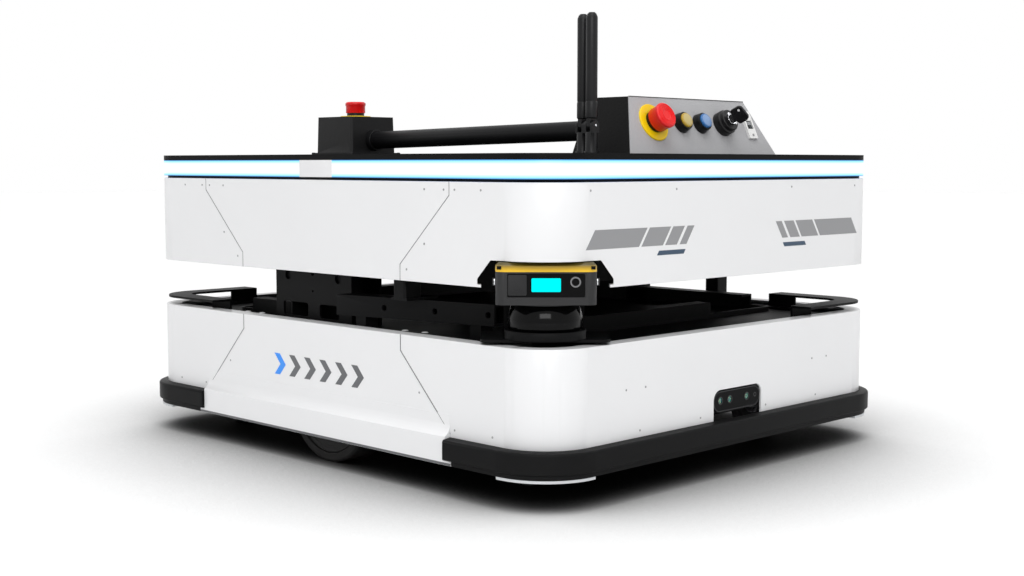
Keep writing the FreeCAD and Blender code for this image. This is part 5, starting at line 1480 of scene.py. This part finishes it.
@dataclass(frozen=True)
class Running:
    """Wheel bolts and caps, and the nuts and bolts of the casters."""

    wheels: tuple[tuple[str, int], ...] = (("right", -1), ("left", 1))
    hub_bolts: int = 6
    bolt_circle: float = 30 * MM
    hub_bolt: Point = (4.5 * MM, 1.2 * MM)
    cap: tuple[Point, ...] = ((0, 0), (18, 0), (18, 0.6), (16.5, 1.1), (6, 1.3), (0, 1.3))    # mm
    hub_rings: tuple[float, ...] = (43, 58)    # mm
    ring_wide: float = 2.2    # mm
    ring_high: float = 0.5 * MM
    axle_nut: Point = (6.5 * MM, 3.2 * MM)
    axle_reach: float = 16 * MM
    plate_nut: Point = (5.5 * MM, 3.4 * MM)
    plate_bolt: float = 28 * MM
    plate_thick: float = 3 * MM

    def build(self) -> None:
        """Make the parts of the drive wheels and the casters."""
        for side, sign in self.wheels:
            self._wheel(side, sign)
        for joint in PLACES.joints("roll_"):
            self._axle_nuts(joint)
        self._plate_bolts()

    def _wheel(self, side: str, sign: int) -> None:
        """The bolts and cap of one hub.

        Args:
            side: The wheel's side.
            sign: Which way along Y it looks.
        """
        low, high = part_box(f"drive_hub_{side}")
        middle = (low + high) / 2
        face = facing((middle.x, sign * max(abs(low.y), abs(high.y)), middle.z), (0, sign, 0))
        turns = [Matrix.Rotation(step * FULL_TURN / self.hub_bolts, 4, "Z") for step in range(self.hub_bolts)]
        spots = [face @ turn @ at(self.bolt_circle, 0, 0) for turn in turns]
        body = f"drive_wheel_{side}"
        slot_piece(f"hub_bolts_{side}", copies(lambda: socket_screw(*self.hub_bolt), spots), Slot.ZINC, body)
        rings = [ring_band(radius * MM, (radius + self.ring_wide) * MM, self.ring_high)
                 for radius in self.hub_rings]
        slot_piece(f"hub_cap_{side}", moved(joined([turned(in_mm(self.cap)), *rings]), face), Slot.HUB, body)

    def _axle_nuts(self, joint: dict) -> None:
        """The lock nuts at both ends of one caster's axle.

        Args:
            joint: The joint that the caster rolls about.
        """
        spot = Vector(joint["pos_m"])
        places = [facing(spot + Vector((0, sign * self.axle_reach, 0)), (0, sign, 0)) for sign in ENDS]
        where = joint["name"].removeprefix("roll_")
        slot_piece(f"caster_nuts_{where}", copies(lambda: hex_nut(*self.axle_nut), places), Slot.ZINC,
                   joint["parent"])

    def _plate_bolts(self) -> None:
        """The bolts that hold the caster plates to the chassis."""
        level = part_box("caster_plates")[1].z - self.plate_thick
        places = []
        for joint in PLACES.joints("swivel_"):
            x, y, _ = joint["pos_m"]
            places += [facing((x + across * self.plate_bolt, y + along * self.plate_bolt, level), (0, 0, -1),
                              (0, 1, 0)) for across in ENDS for along in ENDS]
        slot_piece("caster_plate_bolts", copies(lambda: hex_nut(*self.plate_nut), places), Slot.ZINC)


@dataclass(frozen=True)
class Console:
    """The controls on the sloping panel and on the rear box."""

    plate_radius: float = 22.5 * MM
    plate_thick: float = 1.9 * MM
    plate_edge: float = 0.6 * MM
    plate_dish: Point = (1.6 * MM, 0.4 * MM)
    collar_radius: float = 12.7 * MM
    collar_high: float = 9.5 * MM
    collar_edge: float = 0.8 * MM
    head_top: float = 22 * MM
    head_rings: tuple[float, ...] = (7.2, 9.6, 12.0)    # mm
    head_ring_wide: float = 0.8    # mm
    head_ring_high: float = 0.5 * MM
    cap_top: float = 11.5 * MM
    cap_lens: tuple[Point, ...] = ((0, -0.2), (7.2, -0.2), (7.2, 0.1), (6.6, 0.5), (0, 0.7))    # mm
    key_rest: float = math.radians(35)
    key_half: float = 3.2 * MM
    core: Spot = (6.7 * MM, 0.35 * MM, 0.15 * MM)
    core_top: float = 16.5 * MM
    eye: Spot = (1.5 * MM, 0.25 * MM, 0.1 * MM)
    eye_spot: Point = (-5.6 * MM, 33 * MM)
    lug: Spot = (2.3 * MM, 3.2 * MM, 0.6 * MM)
    lug_spot: Point = (6.6 * MM, 15.2 * MM)
    socket: Spot = (10.6 * MM, 10.6 * MM, 0.9 * MM)
    socket_up: float = 1.5 * MM
    socket_edge: float = 0.2 * MM
    latch: Spot = (2.4 * MM, 4.2 * MM, 1.4 * MM)
    latch_spot: Spot = (4.0 * MM, 0, 2.2 * MM)
    pin: Spot = (4.2 * MM, 0.45 * MM, 0.5 * MM)
    pin_spot: Point = (-2.2 * MM, 2.1 * MM)
    pin_count: int = 8
    pin_pitch: float = 1.1    # mm
    port_screw: Point = (1.7 * MM, 0.7 * MM)
    port_screw_spot: Point = (13.6 * MM, 3 * MM)
    trim: Spot = (2.6 * MM, 214 * MM, 0.7 * MM)
    trim_in: float = 1.3 * MM
    trim_up: float = 0.2 * MM
    trim_edge: float = 0.15 * MM

    def build(self) -> None:
        """Make the parts of all the controls."""
        front = PLACES.on_panel("stop_head_front")
        low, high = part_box("rear_stop_box")
        rear = at((low.x + high.x) / 2, 0, high.z)
        self._stop_bases((front, rear))
        self._stop_rings("stop_rings_front", front, "stop_front")
        self._stop_rings("stop_rings_rear", rear, "stop_rear")
        for name, node, finish, slot, body in (
                ("yellow_face", "button_yellow", AMBER_FACE, Slot.YELLOW_CAP, "push_yellow"),
                ("blue_face", "button_blue", BLUE_FACE, Slot.BLUE_CAP, "push_blue")):
            place = PLACES.on_panel(node) @ at(0, 0, self.cap_top)
            piece(name, moved(turned(in_mm(self.cap_lens)), place), finish, body)
        self._key()
        self._port()
        self._edge_trim()

    def _stop_bases(self, places: Sequence[Matrix]) -> None:
        """The yellow discs and black collars that stand in for the plain bases.

        Args:
            places: Where the two stops stand.
        """
        hole, rim, thick, edge = self.collar_radius, self.plate_radius, self.plate_thick, self.plate_edge
        out, deep = self.plate_dish
        profile = [(hole, 0), (rim, 0), (rim, thick - edge), (rim - edge, thick), (hole + out, thick),
                   (hole, thick - deep), (hole, 0)]
        discs = slot_piece("stop_discs", copies(lambda: turned(profile, steps=96), places), Slot.STOP_PLATE)
        collar = copies(lambda: disc(hole, self.collar_high, edge=self.collar_edge, steps=72), places)
        collars = slot_piece("stop_collars", collar, Slot.BEZEL)
        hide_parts("stop_bases")
        LOG.info("%s and %s stand for the stop bases", discs.name, collars.name)

    def _stop_rings(self, name: str, place: Matrix, body: str) -> None:
        """The raised rings on a mushroom head.

        Args:
            name: The piece's name.
            place: Where the stop stands.
            body: The body of its head.
        """
        rings = [moved(ring_band(radius * MM, (radius + self.head_ring_wide) * MM, self.head_ring_high,
                                 steps=64), at(0, 0, self.head_top)) for radius in self.head_rings]
        slot_piece(name, moved(joined(rings), place), Slot.STOP_HEAD, body)

    def _key(self) -> None:
        """The bright face and lugs of the key switch's core and the eye in the key's bow."""
        place = PLACES.on_panel("switch_key") @ Matrix.Rotation(self.key_rest, 4, "Z")
        across, up = self.eye_spot
        out, foot = self.lug_spot
        core = moved(disc(*self.core), place @ at(0, 0, self.core_top))
        lugs = copies(lambda: disc(*self.lug, steps=24), [place @ at(sign * out, 0, foot) for sign in ENDS])
        flats = [place @ facing((across, sign * self.key_half, up), (0, sign, 0)) for sign in ENDS]
        piece("key_core_face", joined((core, lugs)), CORE_STEEL, "key")
        slot_piece("key_bow_eye", copies(lambda: disc(*self.eye, steps=24), flats), Slot.PORT, "key")

    def _port(self) -> None:
        """The socket's contacts and the plate's two screws."""
        place = PLACES.on_panel("port_plate")
        socket = softened(block(self.socket, (0, 0, self.socket_up)), self.socket_edge)
        latch = block(self.latch, self.latch_spot)
        piece("port_socket", moved(joined((socket, latch)), place), SOCKET_DARK)
        along, up = self.pin_spot
        offsets = [(step - (self.pin_count - 1) / 2) * self.pin_pitch * MM for step in range(self.pin_count)]
        pins = [block(self.pin, (along, offset, up)) for offset in offsets]
        piece("port_pins", moved(joined(pins), place), CORE_STEEL)
        reach, foot = self.port_screw_spot
        spots = [place @ at(sign * reach, 0, foot) for sign in ENDS]
        screws = copies(lambda: socket_screw(*self.port_screw, sides=16), spots)
        piece("port_screws", screws, SCREW_GREY)

    def _edge_trim(self) -> None:
        """The dark edge of the housing's sheet over the top of the panel."""
        low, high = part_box("console_panel")
        strip = block(self.trim, (low.x + self.trim_in, 0, high.z + self.trim_up))
        slot_piece("console_edge", softened(strip, self.trim_edge), Slot.CONSOLE)


@dataclass(frozen=True)
class TopFittings:
    """Screws of the rear box, glands of the conduit, antenna details and the plate's inserts."""

    box_screw: Point = (2.2 * MM, 0.4 * MM)
    box_screw_in: float = 3.2 * MM
    box_screw_up: float = 5 * MM
    conduit_radius: float = 12.5 * MM
    gland: Spot = (12.3 * MM, 15 * MM, 9 * MM)
    pin: Spot = (1.3 * MM, 0.5 * MM, 0.15 * MM)
    pin_out: float = 6.4 * MM
    foot: tuple[Point, ...] = ((0, 0), (6.5, 0), (6.5, 3), (6.3, 3.4), (6.3, 19.6), (5.6, 20.4),
                               (0, 20.4))    # mm
    sleeve_radius: float = 6.45 * MM
    sleeve_foot: float = 57 * MM
    sleeve_neck: Point = (0.5 * MM, 1.5 * MM)
    sleeve_dome: float = 6 * MM
    dome_steps: int = 6
    sleeve_short: float = 0.1 * MM
    insert: Spot = (3.0 * MM, 4.2 * MM, 5.8 * MM)
    insert_deep: float = 6.2 * MM
    insert_spot: Point = (150 * MM, 200 * MM)

    def build(self) -> None:
        """Make the fittings on the top plate."""
        self._box_screws()
        self._glands()
        self._antennas()
        self._inserts()

    def _box_screws(self) -> None:
        """The four screws in the rear box's flange."""
        low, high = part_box("rear_stop_box")
        centre, offset = (low + high) / 2, (high.y - low.y) / 2 - self.box_screw_in
        level = PLACES.plate_top + self.box_screw_up
        places = [at(centre.x + across * offset, centre.y + along * offset, level)
                  for across in ENDS for along in ENDS]
        slot_piece("box_screws", copies(lambda: socket_screw(*self.box_screw), places), Slot.BEZEL)

    def _glands(self) -> None:
        """The clamping rings at both ends of the conduit."""
        low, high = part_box("conduit")
        start = Vector((low.x, 0, low.z + self.conduit_radius))
        end = Vector((high.x, 0, high.z - self.conduit_radius))
        places = [facing(start, end - start), facing(end, start - end)]
        slot_piece("conduit_glands", copies(lambda: ring_band(*self.gland, steps=64), places), Slot.CONDUIT)

    def _sleeve(self, top: float) -> Shape:
        """The round-topped sleeve of one mast.

        Args:
            top: The height of its tip.

        Returns:
            The sleeve, about the Z axis.
        """
        foot, wide, dome = PLACES.plate_top + self.sleeve_foot, self.sleeve_radius, self.sleeve_dome
        inward, upward = self.sleeve_neck
        angles = [step * FULL_TURN / 4 / self.dome_steps for step in range(self.dome_steps)]
        arc = [(wide * math.cos(angle), top - dome + dome * math.sin(angle)) for angle in angles]
        return turned([(0, foot), (wide - inward, foot), (wide, foot + upward), *arc, (0, top)], steps=48)

    def _antennas(self) -> None:
        """The bright pins of the knuckles, the feet and the sleeves over the masts."""
        pins, feet = [], []
        for joint in PLACES.joints("antenna_"):
            spot, body = Vector(joint["pos_m"]), joint["child"]
            pins += [moved(disc(*self.pin, steps=24),
                           facing(spot + Vector((sign * self.pin_out, 0, 0)), (sign, 0, 0))) for sign in ENDS]
            feet.append(moved(turned(in_mm(self.foot), steps=48), at(spot.x, spot.y, PLACES.plate_top)))
            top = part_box(body.replace("mast", "antenna_mast"))[1].z - self.sleeve_short
            slot_piece(f"{body}_sleeve", moved(self._sleeve(top), at(spot.x, spot.y, 0)), Slot.ANTENNA, body)
        piece("antenna_pins", joined(pins), CORE_STEEL)
        slot_piece("antenna_feet", joined(feet), Slot.ANTENNA)

    def _inserts(self) -> None:
        """Threaded inserts in the four mounting holes of the top plate."""
        along, across = self.insert_spot
        level = PLACES.plate_top - self.insert_deep
        places = [at(x * along, y * across, level) for x in ENDS for y in ENDS]
        slot_piece("plate_inserts", copies(lambda: ring_band(*self.insert), places), Slot.ZINC)


def main() -> None:
    """Dress the construction model and add the fine parts."""
    logging.basicConfig(level=logging.INFO, format="%(name)s %(message)s")
    Studio().build()
    CadDress().build()
    for group in (Covers(), Scanners(), DepthCamera(), InnerFrame(), Running(), Console(), TopFittings()):
        group.build()


if __name__ == "__main__":
    main()
